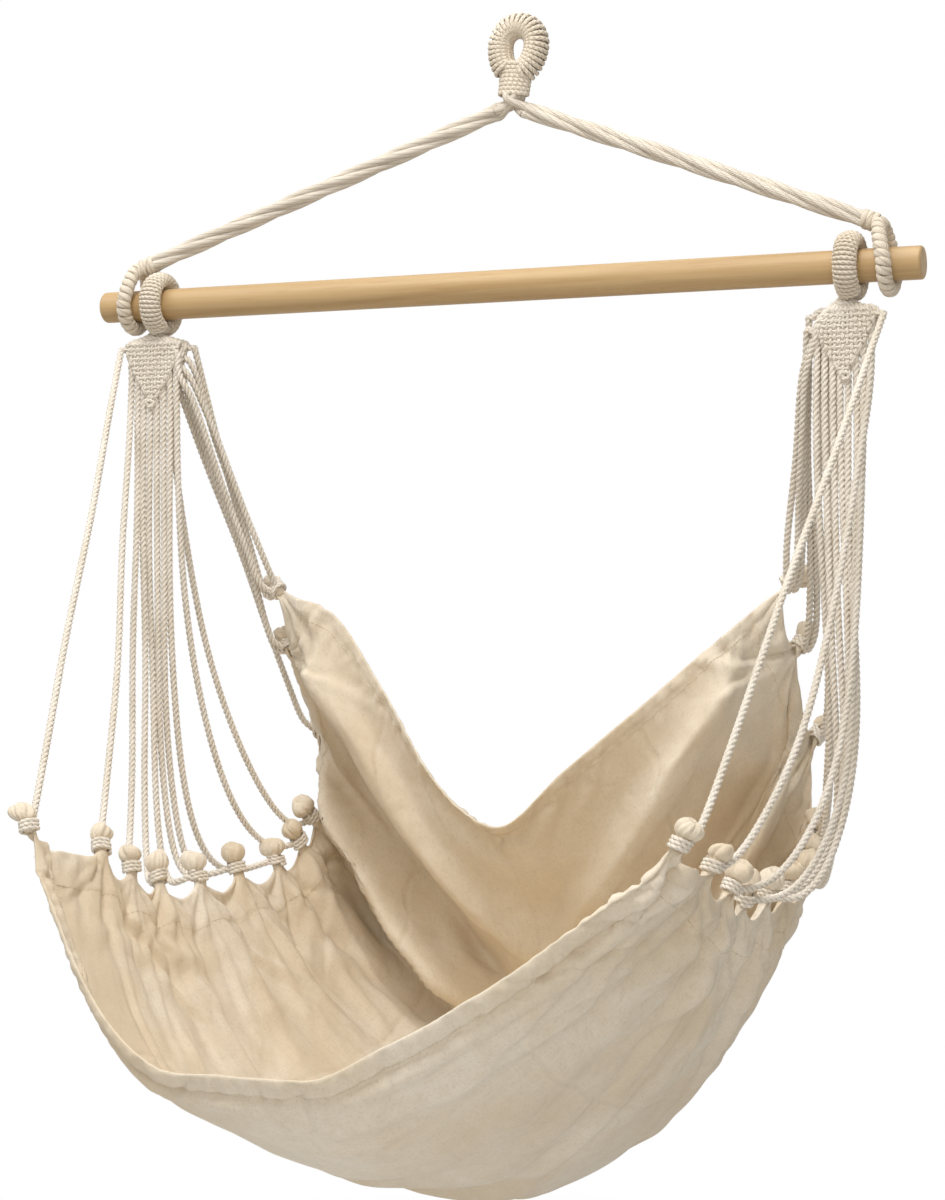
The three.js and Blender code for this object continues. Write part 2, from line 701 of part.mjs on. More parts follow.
function clothGrid() {
  const places = Array.from({ length: clothCellsAcross + 1 }, (_, i) => i);
  const shares = rowShares();
  const flat = shares.map((share) => places.map((i) => {
    const out = Math.abs(2 * i / clothCellsAcross - 1);
    return clothRow(leaningShare(share, out), clothCellsAcross).points[i];
  }));
  const normals = clothNormals(flat);
  return shares.map((share, j) => {
    const { length, tieNumber } = clothRow(share, clothCellsAcross);
    const cell = length / clothCellsAcross;
    const wave = Math.cos(2 * Math.PI * tieNumber) - 1;
    return places.map((i) => {
      const inward = Math.min(i, clothCellsAcross - i) * cell;
      const fade = Math.exp(-inward / gatherReach) * Math.min(inward / cell, 1);
      return flat[j][i].clone().addScaledVector(normals[j][i], gatherFold / 2 * wave * fade);
    });
  });
}

const grid = clothGrid();

// Closed sheet of cloth without its knobs
function clothSheet() {
  const normals = clothNormals(grid);
  const top = grid.flat();
  const under = grid.flatMap((row, j) => row.map((point, i) => (
    point.clone().addScaledVector(normals[j][i], -clothThickness))));
  const width = clothCellsAcross + 1;
  const faces = [];
  const quad = (a, b, c, d) => faces.push([a, b, c], [a, c, d]);
  for (let j = 0; j < grid.length - 1; j += 1) {
    for (let i = 0; i < clothCellsAcross; i += 1) {
      const a = j * width + i;
      const corners = [a, a + 1, a + width + 1, a + width];
      if (top[a].distanceTo(top[a + width + 1]) > top[a + 1].distanceTo(top[a + width])) {
        corners.push(corners.shift());
      }
      quad(...corners);
      quad(...corners.map((corner) => corner + top.length).reverse());
    }
  }
  const border = [];
  for (let i = 0; i < clothCellsAcross; i += 1) {
    border.push(i);
  }
  for (let j = 0; j < grid.length - 1; j += 1) {
    border.push(j * width + clothCellsAcross);
  }
  for (let i = clothCellsAcross; i > 0; i -= 1) {
    border.push((grid.length - 1) * width + i);
  }
  for (let j = grid.length - 1; j > 0; j -= 1) {
    border.push(j * width);
  }
  border.forEach((a, i) => {
    const b = border[(i + 1) % border.length];
    quad(a, a + top.length, b + top.length, b);
  });
  return closedGeometry([...top, ...under], faces);
}

// Edge ties
const rowOfTie = tieShares.map((tieShare) => {
  const distances = rowShares().map((share) => Math.abs(share - tieShare));
  return distances.indexOf(Math.min(...distances));
});
const lashingFlat = lashingDiameter / 2 * Math.cos(Math.PI / tieSides);
const lashingBase = knobNeckLength - lashingLength - gap;

// Where a tie sits, which way its knob points and which way its rope leaves
function tieFrame(index, side, exit) {
  const row = grid[rowOfTie[index]];
  const edge = side < 0 ? row[0] : row[row.length - 1];
  const inner = side < 0 ? row[knobCells] : row[row.length - 1 - knobCells];
  const pull = exit.clone().sub(edge).normalize();
  const edgeOf = (cells) => (side < 0 ? cells[0] : cells[cells.length - 1]);
  const before = edgeOf(grid[Math.max(rowOfTie[index] - 1, 0)]);
  const after = edgeOf(grid[Math.min(rowOfTie[index] + 1, grid.length - 1)]);
  const edgeWay = after.clone().sub(before).normalize();
  const axis = edge.clone().sub(inner).normalize().add(vec(0, 0, knobUprightShare));
  axis.addScaledVector(edgeWay, -axis.dot(edgeWay) * knobSquareShare).normalize();
  const base = edge.clone().addScaledVector(axis, -clothThickness);
  const away = vec(pull.x + side * lashingOutShare, pull.y, 0);
  away.addScaledVector(axis, -away.dot(axis)).normalize();
  return { base, axis, away };
}

function placeLathe(profile, frame) {
  const turned = new THREE.LatheGeometry(profile.map(([r, h]) => new THREE.Vector2(r, h)), tieSides);
  turned.rotateY(-Math.PI / tieSides);
  const third = frame.axis.clone().cross(frame.away);
  const place = new THREE.Matrix4().makeBasis(third, frame.axis, frame.away);
  place.setPosition(frame.base);
  turned.applyMatrix4(place);
  turned.deleteAttribute('uv');
  turned.deleteAttribute('normal');
  return mergeVertices(turned);
}

function knobProfile() {
  const neck = knobNeck / 2;
  const ball = knobBall / 2;
  const top = knobNeckLength + knobBallHeight;
  return [
    [0, 0],
    [neck, 0],
    [neck, knobNeckLength],
    [ball, knobNeckLength + knobBallHeight / 2],
    [neck, top],
    [0, top],
  ];
}

function lashingProfile() {
  const inner = knobNeck / 2 + gap / Math.cos(Math.PI / tieSides);
  const outer = lashingDiameter / 2;
  return [
    [inner, lashingBase],
    [outer, lashingBase],
    [outer, lashingBase + lashingLength],
    [inner, lashingBase + lashingLength],
    [inner, lashingBase],
  ];
}

function ropePath(exit, frame, rope, turn, steps, fit) {
  const away = frame.away.clone().applyAxisAngle(frame.axis, turn);
  const lashingMiddle = frame.base.clone().addScaledVector(frame.axis, lashingBase + lashingLength / 2);
  const end = lashingMiddle.clone().addScaledVector(away, lashingFlat + fit);
  const from = exit.point.clone().addScaledVector(exit.way, gap);
  const first = from.clone().addScaledVector(exit.way, ropeDiameter);
  const last = end.clone().addScaledVector(away, ropeRun);
  const points = [from, first];
  for (let i = 1; i < steps; i += 1) {
    const angle = i / steps * Math.PI / 2;
    const level = 1 - Math.cos(angle) ** (2 / rope.slackShare);
    const drop = Math.sin(angle) ** (2 / rope.slackShare);
    points.push(vec(
      first.x + (last.x - first.x) * level,
      first.y + (last.y - first.y) * level,
      first.z + (last.z - first.z) * drop - ropeDip * rope.dipShare * 4 * level * (1 - level),
    ));
  }
  points.push(last, end);
  const path = new THREE.CatmullRomCurve3(points);
  path.getPointAt = (share) => path.getPoint(share);
  path.getTangentAt = (share) => path.getTangent(share);
  return path;
}

// Ropes of one side, each with its own turns lashed round a knob's neck; where ropes share a
// knob the first one carries the turns. Returns the frames of the knobs.
function makeRopes(sideName, side, x) {
  const exits = ropes.map((rope) => clewExit(rope, x, side));
  const frames = ties.map((_, index) => {
    const users = exits.filter((_exit, i) => ropes[i].tie === index).map((exit) => exit.point);
    const middle = users.reduce((sum, point) => sum.add(point), vec(0, 0, 0)).divideScalar(users.length);
    return tieFrame(index, side, middle);
  });
  const section = new THREE.Shape(ellipseSection(ropeDiameter / 2, ropeDiameter / 2, ropeSides)
    .map(([a, b]) => new THREE.Vector2(a, b)));
  ropes.forEach((rope, i) => {
    const frame = frames[rope.tie];
    const lashed = ropes.findIndex((other) => other.tie === rope.tie) === i;
    const steps = rope.slackShare > tautLimitShare ? slackSteps : tautSteps;
    const turn = -side * rope.face * 2 * Math.PI / tieSides;
    const path = ropePath(exits[i], frame, rope, turn, steps, lashed ? -overrun : gap);
    const strand = new THREE.ExtrudeGeometry(section, { steps: steps + 2, extrudePath: path });
    const geometry = lashed ? join(strand, placeLathe(lashingProfile(), frame)) : strand;
    const number = String(i + 1).padStart(2, '0');
    addPiece(barCentre, `rope_${sideName}_${number}`, geometry, ropeFinish());
  });
  return frames;
}

function makeCloth(frames) {
  const knobs = frames.map((frame) => placeLathe(knobProfile(), frame));
  addPiece(barCentre, 'seat_cloth', join(clothSheet(), ...knobs), clothFinish());
}

makeEye();
makeCrownKnot();
makeBar();
const knobFrames = [];
const sideParts = [
  { sideName: 'left', side: -1, inset: yokeLoopInsetLeft },
  { sideName: 'right', side: 1, inset: yokeLoopInsetRight },
];
for (const { sideName, side, inset } of sideParts) {
  const yokeX = side * (barLength / 2 - inset);
  const harnessX = yokeX - side * harnessSpacing;
  makeYokeRope(sideName, yokeX);
  makeHarnessLoop(sideName, harnessX);
  makeClew(sideName, harnessX);
  knobFrames.push(...makeRopes(sideName, side, harnessX));
}
makeCloth(knobFrames);

export default model;
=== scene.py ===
"""Hammock chair: the looks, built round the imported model.

Lengths in this script are millimetres in the model's frame, unless a name or comment says
metres; Shape.piece turns them into metres. Places called bar-centred are measured from
the middle of the spreader bar.
"""
import math

import bpy
import numpy as np
from mathutils import Matrix, Vector


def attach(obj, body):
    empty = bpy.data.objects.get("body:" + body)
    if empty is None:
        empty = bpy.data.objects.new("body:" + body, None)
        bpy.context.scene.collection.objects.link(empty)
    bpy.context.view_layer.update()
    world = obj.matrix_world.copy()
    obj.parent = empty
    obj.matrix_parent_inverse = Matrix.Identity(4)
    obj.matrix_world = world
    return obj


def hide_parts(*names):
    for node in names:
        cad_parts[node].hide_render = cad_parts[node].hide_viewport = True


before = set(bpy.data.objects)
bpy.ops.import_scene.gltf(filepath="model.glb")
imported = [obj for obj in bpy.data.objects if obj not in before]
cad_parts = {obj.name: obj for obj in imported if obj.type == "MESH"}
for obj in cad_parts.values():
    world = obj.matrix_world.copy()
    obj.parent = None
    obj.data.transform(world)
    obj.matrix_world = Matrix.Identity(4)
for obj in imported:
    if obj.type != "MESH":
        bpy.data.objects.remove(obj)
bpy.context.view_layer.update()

MM = 0.001
TURN = 2 * math.pi
SIDES = {"left": -1, "right": 1}
# Corners of a face, taken the other way round
BACKWARD = [0, 3, 2, 1]
random = np.random.default_rng(7)

# Camera, fitted to the photograph of 945 by 1200 pixels
CAMERA_PLACE = (994, -2581, -653)
CAMERA_AZIMUTH = math.radians(22.06)
CAMERA_PITCH = math.radians(1.63)
CAMERA_ROLL = math.radians(0.13)
FOCAL_PIXELS = 2716
IMAGE_HEIGHT = 1200
SENSOR = 24

# Spreader bar
BAR_LENGTH = 900
BAR_DIAMETER = 33
BAR_END_ROUND = 3
BAR_END_STEPS = 6
BAR_TIP_RADIUS = 0.02
BAR_SIDES = 96
BAR_RINGS = 180
BAR_CENTRE = np.array([-33.0, 0.0, -252.0])
BAR_RADIUS = BAR_DIAMETER / 2

# Hanging eye, its neck and the crown knot
EYE_TUBE = 25
EYE_HOLE_WIDTH = 13
EYE_HOLE_HEIGHT = 23
EYE_LEAN = math.radians(8)
EYE_SHIFT = -1.5
EYE_RISE = 1
EYE_FOOT_SHARE = 1.1
EYE_SIDE_EASE = 0.6
EYE_TOP_EASE = 0.8
EYE_CORE_EASE = 0.4
EYE_CORD = 4.2
EYE_CORD_LIFT = 1
EYE_TURNS = 28
EYE_FREE_ANGLE = math.radians(24)
EYE_PLIES_SHARE = 0.1
CORD_THICKNESS = 3.0
CORD_LAY = 10
CORD_SIDES = 12
CORD_OVERLAP_SHARE = 1.12
PLIES_SHARE = 0.22
TURN_POINTS = 40
LOOP_POINTS = 400
LOOP_NUDGE = 0.001
CORE_STEPS = 96
CORE_SIDES = 16
NECK_HEAD = -36
NECK_FOOT = -57
NECK_TOP = -24
NECK_TURNS = 8
NECK_TURN_POINTS = 48
NECK_CORD = 5.0
NECK_CORD_THICKNESS = 3.2
NECK_PLIES_SHARE = 0.12
# Half depth and half width of the bound neck at its foot, head and top
NECK_HALF_DEPTHS = (11.2, 11.4, 12.4)
NECK_HALF_WIDTHS = (15.2, 15.8, 21.5)
CROWN_DROP = 67
# Where a leg's ropes pass over and into the crown knot: reach past the middle, its step from
# rope to rope, their spacing from front to back and the height over the neck's foot
KNOT_OVER = (2, 1.5, 5.6, -6)
KNOT_INTO = (4, 2.4, 4.6, 3)
KNOT_STAGGER = 1.5
KNOT_ROPE_LENGTH = 34

# Yoke ropes and loops
LEG_DIAMETER = 17
LEG_ROPES = 4
LEG_ROPE_DIAMETER = 8.2
LEG_LAY = 250
LEG_SPREAD_EASE = 0.6
LEG_START = 12
LEG_END = 14
LEG_POINTS = 60
YARN_LAY = 90
YARN_LOBES = 5
YARN_SIDES = 20
YARN_CORE_SHARE = 0.12
YOKE_LOOP_TUBE = 15
YOKE_LOOP_RISE = 39.5
YOKE_LOOP_LEAN = 8
YOKE_LOOP_SHIFTS = {"left": 6, "right": 9}
YOKE_LOOP_INSETS = {"left": 29, "right": 43}
YOKE_LOOP_CORD = 7.4
YOKE_CORD_THICKNESS = 4.2
YOKE_CORD_LIFT = 0.4
YOKE_CORD_LAY = 40
YOKE_CORD_SIDES = 16
YOKE_CORE_EASE = 1
YOKE_PLIES_SHARE = 0.06
# Cord turns round the leg just over its loop
COLLAR_TURNS = 3
COLLAR_START = 2
COLLAR_PITCH = 5.6
COLLAR_SINK = 0.4
COLLAR_CORD = 6.4
COLLAR_THICKNESS = 3.6

# Harness loops
HARNESS_SPACING = 34
HARNESS_SHIFT = 5
HARNESS_TUBE_WIDTH = 25
HARNESS_TUBE_DEPTH = 18.5
HARNESS_CORD = 4.1
HARNESS_CORE_SINK = 2.4
HARNESS_FREE_ANGLE = math.radians(14)
HARNESS_LENGTH_EASE = 2
HARNESS_OVERLAP_SHARE = 1.04
HARNESS_CORD_SHARE = 1.2
HARNESS_PLIES_SHARE = 0.3
HARNESS_NECK_WIDTH = 18

# Clews, woven of warp cords down them and a weft cord to and fro
CLEW_WIDTH = 64
CLEW_HEIGHT = 60
CLEW_BACK_HEIGHT = 38
CLEW_DROP = 37.5
CLEW_FOOT_EXTRAS = {"front": 10, "back": 6}
CLEW_FOOT_POWER = 0.75
CLEW_LIFT = 3.4
CLEW_DEPTH_SHARES = (0.55, 0.45)
CLEW_CORD_LAY = 11
WARPS = 15
WARP_DIAMETER = 4.7
WARP_SPACING = (CLEW_WIDTH - WARP_DIAMETER) / (WARPS - 1)
WARP_STEP = 1.2
WARP_TOP_SHARE = 0.20
WARP_TOP_DEPTH = 2.5
WARP_TOP_RISE = 6
WARP_TAIL = 3
WARP_END_DROP = 5
WEFT_DIAMETER = 4.2
WEFT_SPACING = 5.2
WEFT_STEP = 1.3
WEFT_EDGE = 2
WEFT_PLACE_STEP = 0.25
WEAVE_START = 6
WEAVE_DEPTH = 1.35
# How far below the clew's top each shoulder is full, on the inner and on the outer side
CLEW_SHOULDERS = {"left": (7, 7), "right": (26, 12)}
SHOULDER_START = -4
# Cord that crosses the shoulders
CROSSING_DIAMETER = 6.2
CROSSING_LAY = 16
CROSSING_SHARES = (-1.04, -0.8, -0.35, 0, 0.35, 0.8, 1.04)
CROSSING_POWER = 1.6
CROSSING_SINK = 2.5
CROSSING_RISE = 0.5
# Ring of cord at the clew's foot
RING_TURNS = 1.9
RING_POINTS = 60
RING_SHIFT = 2
RING_LIFT = 0.8
RING_DROP = 1
RING_HALF_WIDTH = 4.4
RING_HALF_HEIGHT = 3.8
RING_WEAVE = 1.4
RING_WEAVE_TURNS = 1.5
RING_CLIMB = 0.25

# Ropes
ROPE_DIAMETER = 7.5
ROPE_LAY = 18
ROPE_STRANDS = 3
ROPE_CORE_SHARE = 0.51
ROPE_SIDES = 18
ROPE_STEP = 1.5
CURVE_POINTS = 25
ROPE_ROW_OFFSET = 6.5
ROPE_ROW_SLOTS = 8
CORNER_ROPE_DROP = 9
INNER_ROPE_BACK = 9.7
INNER_ROPE_STEP = 6.4
INNER_ROPE_DROP = 8
INNER_ROPE_SPACING = 13
ROPE_DIP = 14
ROPE_SINK = 2
ROPE_HANG_POINTS = 25
ROPE_WANDER = 1.6
ROPE_HALF_WAVES = 3
ROPE_HELD_LENGTH = 45
ROPE_BOWS = {"left": 0, "right": 15}
ROPE_EASINGS = {"left": 160, "right": 560}
EASING_SHARE = 0.25
# A rope inside the clew: shares of its way out and back at the top, the height there, the
# stops down the clew, the width there and how it turns out to a side or down at the foot
CLEW_ROPE_TOP_SHARES = (0.25, 0.5)
CLEW_ROPE_TOP = 2
CLEW_ROPE_STOP_SHARES = (0.35, 0.7)
CLEW_ROPE_WIDTH_SHARE = 0.94
CLEW_TURN_SHARES = (0.90, 1.06)
CLEW_TURN_RISES = (4, -1)
CLEW_FOOT_RISE = 3

# Edge ties
KNOB_NECK = 13
KNOB_NECK_LENGTH = 22
KNOB_BALL = 25
KNOB_BALL_HEIGHT = 20
CORNER_KNOB_TIPS = {"left": 13, "right": 3}
KNOB_TIP = 4.5
KNOB_TIP_START = 4
KNOB_UPRIGHT_SHARE = 1
KNOB_SQUARE_SHARE = 0.74
KNOB_SIDES = 72
KNOB_MEAN_RADIUS = 12
KNOB_PLEATS = (4, 7)
KNOB_TALL_SHARES = (0.86, 1.14)
KNOB_WIDE_SHARES = (0.9, 1.08)
# Heights over a knob's foot and shares of its neck's radius, up to where the ball starts
KNOB_NECK_PROFILE = (
    (10.5, 0.55), (11.3, 0.8), (13, 0.94), (15, 0.94), (18, 0.94), (KNOB_NECK_LENGTH - 1, 0.94),
)
KNOB_ARC = (-1.0, 1.25)
KNOB_ARC_POINTS = 22
KNOB_FULL_POWER = 0.8
KNOB_MIDDLE_SHARE = 0.9
KNOB_RIM_SHARE = 0.95
KNOB_DIMPLE_SHARE = 0.22
KNOB_DIMPLE_RINGS = (0.75, 0.5, 0.25, 0.05)
# Depth of the pleats as shares of the radius, at these heights, the ball's middle and the top
KNOB_PLEAT_HEIGHTS = (12, 20, 24)
KNOB_PLEAT_SHARES = (0.12, 0.16, 0.22, 0.2, 0.24)
KNOB_TWIST = 0.5
KNOB_UNEVEN_TURN = 0.25
KNOB_PLEAT_POWER = 0.6
KNOB_PLEAT_REST = 0.8
KNOB_FINE_PLEAT = 0.3
KNOB_LUMP_SHARES = (0.15, 0.09)
KNOB_SLOPE = 2.4
LASHING_DIAMETER = 21
LASHING_LENGTH = 10
LASHING_OUT_SHARE = 0.15
LASHING_FACES = 6
LASHING_TURNS = 3
LASHING_TURN_POINTS = 30
LASHING_TILT = 1.7
LASHING_LIFT = 1.9
LASHING_CORD = 4.2
LASHING_THICKNESS = 3.8
LASHING_LAY = 11
ROPE_RUN = 11
GAP = 0.3

# Seat cloth
SEAT_HALF_WIDTH = 310
SEAT_REACH = 443
SEAT_DROP = 928
CLOTH_THICKNESS = 3
GATHER_SLACK = 14
SCALLOP_DEPTH = 10
FIRST_SCALLOP_SHARE = 0.2
GATHER_FOLD = 9
GATHER_REACH = 150
CELLS_ACROSS = 20
CLOTH_CELLS = (3, 2, 2, 2, 2, 2, 2, 2, 4, 4, 3)

# Tie points of an edge from front to back, bar-centred, as shares of the seat's half width,
# reach and drop
TIE_PLACE_SHARES = (
    (1.018, -0.837, -0.597),
    (0.994, -0.564, -0.625),
    (0.994, -0.424, -0.650),
    (0.987, -0.305, -0.666),
    (0.981, -0.113, -0.670),
    (0.974, 0.079, -0.666),
    (0.955, 0.271, -0.663),
    (0.932, 0.379, -0.641),
    (0.919, 0.445, -0.610),
    (0.913, 0.451, -0.506),
    (0.919, 0.282, -0.406),
    (0.900, 0.205, -0.336),
)

# Middle line of the seat from the front hem to the back hem, as shares of its reach and drop
MIDLINE_SHARES = (
    (-1.000, -0.810),
    (-0.869, -0.875),
    (-0.564, -0.940),
    (-0.226, -0.983),
    (0.090, -1.000),
    (0.339, -0.978),
    (0.479, -0.911),
    (0.485, -0.830),
    (0.384, -0.744),
    (0.221, -0.666),
    (0.045, -0.598),
)

# How a row of cloth climbs from the middle line to its tie: the row's place along the seat,
# then its shares of the climb at a quarter, a half and three quarters of the way out
CLIMB_ALONG = (0.00, 0.20, 0.45, 0.68, 0.84, 1.00)
CLIMB_SHARES = {
    "left": (
        (0.00, 0.02, 0.34), (0.07, 0.21, 0.50), (0.11, 0.32, 0.59),
        (0.11, 0.31, 0.56), (0.12, 0.38, 0.66), (0.17, 0.57, 0.92),
    ),
    "right": (
        (0.17, 0.40, 0.69), (0.11, 0.33, 0.62), (0.07, 0.25, 0.54),
        (0.07, 0.25, 0.54), (0.13, 0.37, 0.64), (0.24, 0.49, 0.75),
    ),
    "back": (
        (0.06, 0.25, 0.56), (0.04, 0.20, 0.52), (0.02, 0.12, 0.42),
        (0.02, 0.12, 0.42), (0.05, 0.22, 0.50), (0.15, 0.40, 0.70),
    ),
}

# Long folds from the back ties: tie that a fold starts at, share of the half width and of the
# length where it dies out, height and half width towards the front and towards the back
MODEL_FOLDS = (
    (10.6, 0.10, 0.80, 34, 50, 50),
    (8.9, 0.36, 0.68, 60, 38, 38),
    (9.75, 0.25, 0.745, -30, 34, 34),
    (7.9, 0.42, 0.61, -36, 40, 40),
)
FOLDS = (
    (10.5, 0.10, 0.80, 48, 28, 54),
    (8.9, 0.36, 0.68, 62, 26, 38),
    (9.75, 0.25, 0.745, -36, 28, 32),
    (7.9, 0.42, 0.61, -42, 36, 32),
)
REACH_STEPS = 321
FOLD_OVERHANG = 0.42
FOLD_LIFT_SHARE = 0.25
FOLD_START_SHARE = 0.25
FOLD_FADE_SHARE = 0.85
FOLD_END_SHARE = 1.35
ROW_LEAN_SHARE = 0.16
LEAN_START_SHARE = 0.3
LEAN_FULL_SHARE = 0.64
LEAN_FADE_SHARE = 0.94

# Hems and casings, cloth thickness and the wrinkles that the simulation may make
FRONT_HEM = 28
BACK_HEM = 16
SIDE_CASING = 38
FLAT_WIDTH = 940
PLY = 1.3
HEM_FULLNESS = 1.8
HEM_ROLL = 3.4
HEM_SWELL = 4.0
HEM_CORNER = 130
HEM_LEFT_SHARE = 0.5
SECOND_CREASE_SHARE = 0.7
HEM_CORNER_FULLNESS = 2.4
HEM_GATHERS = 2.4
HEM_GATHER_SLANT = 1.1
HEM_GATHER_WAVES = (19, 12, 31)
HEM_GATHER_REACH = 26
HEM_RIGHT_SHARES = (0.5, 0.8)
HEM_ROLL_PLACE = 2
HEM_ROLL_REACH = 5
SECOND_CREASE_PLACE = 36
HEM_SWELL_PLACE = 19
HEM_SWELL_REACH = 12
HEM_SWELL_UNEVEN_SHARE = 0.8
HEM_SWELL_WAVES = (310, 170, 90)
BACK_HEM_SHARE = 0.7
CASING_SHARE = 0.8
HEM_FULL_POWER = 4
HEM_EVEN_SHARE = 0.75
HEM_UNEVEN_SHARE = 0.35
HEM_WAVES = (61, 27, 13)
WAVE_SHARES = (0.5, 0.3, 0.2)
TIE_FLAT_REACH = 24
SEAM_DEPTH = 0.25
SEAM_HALF_WIDTH = 2.2
SEAM_REACH = 4
SEAM_PLY_SHARE = 0.62
PUCKER_HEIGHT = 1.15
PUCKER_REACH = 13
PUCKER_SLANT = 0.45
PUCKER_WAVES = (23, 14, 37)
STITCH_SPACING = 4.6
STITCH_LENGTH = 3.2
STITCH_THICKNESS = 0.9
STITCH_SINK = 0.25
STITCH_SHOULDER = 0.2
STITCH_CROWN = 0.28
STITCH_SIDES = 6
WRINKLE_LIMIT = 10
COARSE_ROWS = 116
COARSE_COLUMNS = 106
SETTLING_FRAMES = 20
SETTLING_GRAVITY_SHARE = 0.06
SLACK_SHARE = 0.035
SETTLING = {
    "quality": 6, "vertex_group_mass": "held", "shrink_min": -SLACK_SHARE, "tension_stiffness": 12,
    "compression_stiffness": 6, "shear_stiffness": 4, "bending_stiffness": 0.05,
}

# Spacing of the rows and columns of the cloth's mesh near its edges and inside
FINE_CELL = 2.0
COARSE_CELL = 4.2
EDGE_BAND = 6
CASING_BAND = 8

# Shallow waves, each in its own patch: least distance from the edges, half sizes of the patch
# along and across the wave, wave length and height
RIPPLES = 70
RIPPLE_MARGIN = 60
RIPPLE_FRONT_MARGIN = 50
RIPPLE_RUNS = (26, 50)
RIPPLE_WIDTHS = (70, 170)
RIPPLE_WAVES = (45, 100)
RIPPLE_HEIGHTS = (0.8, 2.4)

# Pleats at the ties: height, reach and reach of the flat middle; then how the pleats wander
PLEAT_HEIGHT = 2.6
PLEAT_REACH = 60
PLEAT_MIDDLE = 14
PLEAT_COUNTS = (9, 14)
PLEAT_SECOND_SHARE = 0.6
PLEAT_WANDER = 0.10
PLEAT_WANDER_LENGTH = 23
# Where the cloth is drawn up to in a knob, as shares of the neck's length and radius
DRAW_HEIGHT_SHARE = 0.53
DRAW_RADIUS_SHARE = 0.95
DRAW_REACH = 17

# Creases that run from a tie: lean, length, half width, depth and bow
CREASES_A_TIE = 6
CREASE_LEAN = 1.05
CREASE_LENGTHS = (60, 300)
CREASE_WIDTHS = (3.5, 8)
CREASE_DEPTHS = (1.2, 3.6)
CREASE_BOW = 0.12
CREASE_START = (4, 28)
CREASE_FADE_SHARE = 0.45
# Height share, place and half width of the lip beside a crease
CREASE_LIP = (0.7, 1.7, 1.2)

# Longer creases: side and tie that a crease runs from, lean from the way inwards, length,
# half width, depth and bow
LONG_CREASES = (
    (1, 1, -0.10, 520, 11, -4.5, 0.05),
    (1, 2, 0.16, 560, 12, 5.0, -0.06),
    (1, 3, 0.05, 600, 10, -5.0, 0.04),
    (1, 4, 0.20, 520, 13, 5.5, -0.05),
    (1, 5, 0.02, 560, 11, -4.5, 0.06),
    (1, 0, 0.42, 380, 10, -4.5, 0.08),
    (-1, 1, 0.12, 300, 9, -4.5, 0.05),
    (-1, 3, 0.05, 320, 9, 4.5, -0.04),
)

# Ropes of one side by where they leave the clew: tie, face of the lashing, roundness of the
# slack and its dip's share. Each group runs from the outer side inwards, or down the side.
ROPE_GROUPS = {
    "outer_side": ((0, 0, 1.0, 0),),
    "front_foot": (
        (1, 0, 1.2, 0.43), (2, 0, 1.8, 0.57), (3, 0, 2.2, 0.71), (4, 1, 2.9, 1.0),
        (4, -1, 3.2, 0.71), (5, 0, 3.3, 0.86), (6, 0, 3.5, 0.71), (7, 0, 2.1, 0),
    ),
    "back_foot": ((8, 0, 1.6, 0), (9, 0, 1.0, 0), (10, -1, 1.0, 0)),
    "inner_side": ((10, 0, 1.0, 0), (11, -1, 1.0, 0), (11, 1, 1.0, 0), (11, 0, 1.0, 0)),
}
ROPES = [
    (group, place, *rope) for group, ropes in ROPE_GROUPS.items() for place, rope in enumerate(ropes)
]

# Colours as they show on a screen, from 0 to 255
WOOD_COLOURS = ((174, 142, 96), (193, 163, 117))
WOOD_FLECK = (158, 116, 72)
WOOD_PORE = (182, 147, 98)
# Painted shade for the grooves between a rope's strands
STRAND_GROOVE_SHADE = (118, 98, 74)
STRAND_FIBRE = (156, 138, 112)
CANVAS_COLOURS = ((233, 222, 204), (221, 203, 175))
CANVAS_MOTTLE = (213, 197, 171)
CANVAS_SLUB = (205, 188, 162)
CANVAS_GRAIN = (196, 178, 150)
CANVAS_FLECK = (140, 108, 72)
THREAD_COLOURS = ((226, 212, 188), (206, 188, 158))

# Ropes and cords: name, light and dark colour, width of a yarn in metres, strength of the painted shade in
# the grooves between strands
STRANDS = (
    ("rope_cotton", ((240, 231, 218), (229, 219, 202)), 0.0021, 0.4),
    ("cord_cotton", ((229, 217, 198), (217, 203, 182)), 0.0016, 0.42),
    ("yoke_cotton", ((230, 220, 204), (216, 205, 188)), 0.0021, 0.42),
)
# Share of a strand's width that the painted groove shade reaches in from each edge
GROOVE_SHADE_SHARE = 0.17
YARN_SLANT = 2.2

# Relief in metres, and how many times a metre the patterns repeat each way
WOOD_BUMP = 0.00012
WOOD_BAND_SCALE = (2.5, 60, 60)
WOOD_PORE_SCALE = (30, 900, 900)
FIBRE_BUMP = 0.0004
YARN_BUMP = 0.00022
WEAVE_PITCH = 0.0011
SLUB_SCALES = ((30, 900, 1), (900, 30, 1))
FLECK_SHARE = 0.72
# Depth and strength of the canvas's broad swells, crumples, grain, old folds, slubs and weave
CANVAS_BUMPS = (
    (0.007, 0.6), (0.0014, 0.5), (0.0005, 0.5), (0.0016, 0.6), (0.0003, 0.35), (0.00012, 0.4),
)
# Old folds of the flat cloth, in metres
OLD_FOLD_COLUMNS = (0.235, 0.47, 0.705)
OLD_FOLD_ROWS = (0.128, 0.256, 0.512, 0.768)
OLD_FOLD_WANDER = 0.006
OLD_FOLD_WIDTH = 0.008

# Stage: the floor's height in millimetres, its reach and fade in metres
FLOOR_HEIGHT = -1640
FLOOR_REACH = 30
FLOOR_FADE = (1.9, 3.0)
FLOOR_GREY = 0.74
FLOOR_ROUGHNESS = 0.9
WORLD_LIGHT = 0.34
WORLD_TINT = (1.0, 0.94, 0.85)
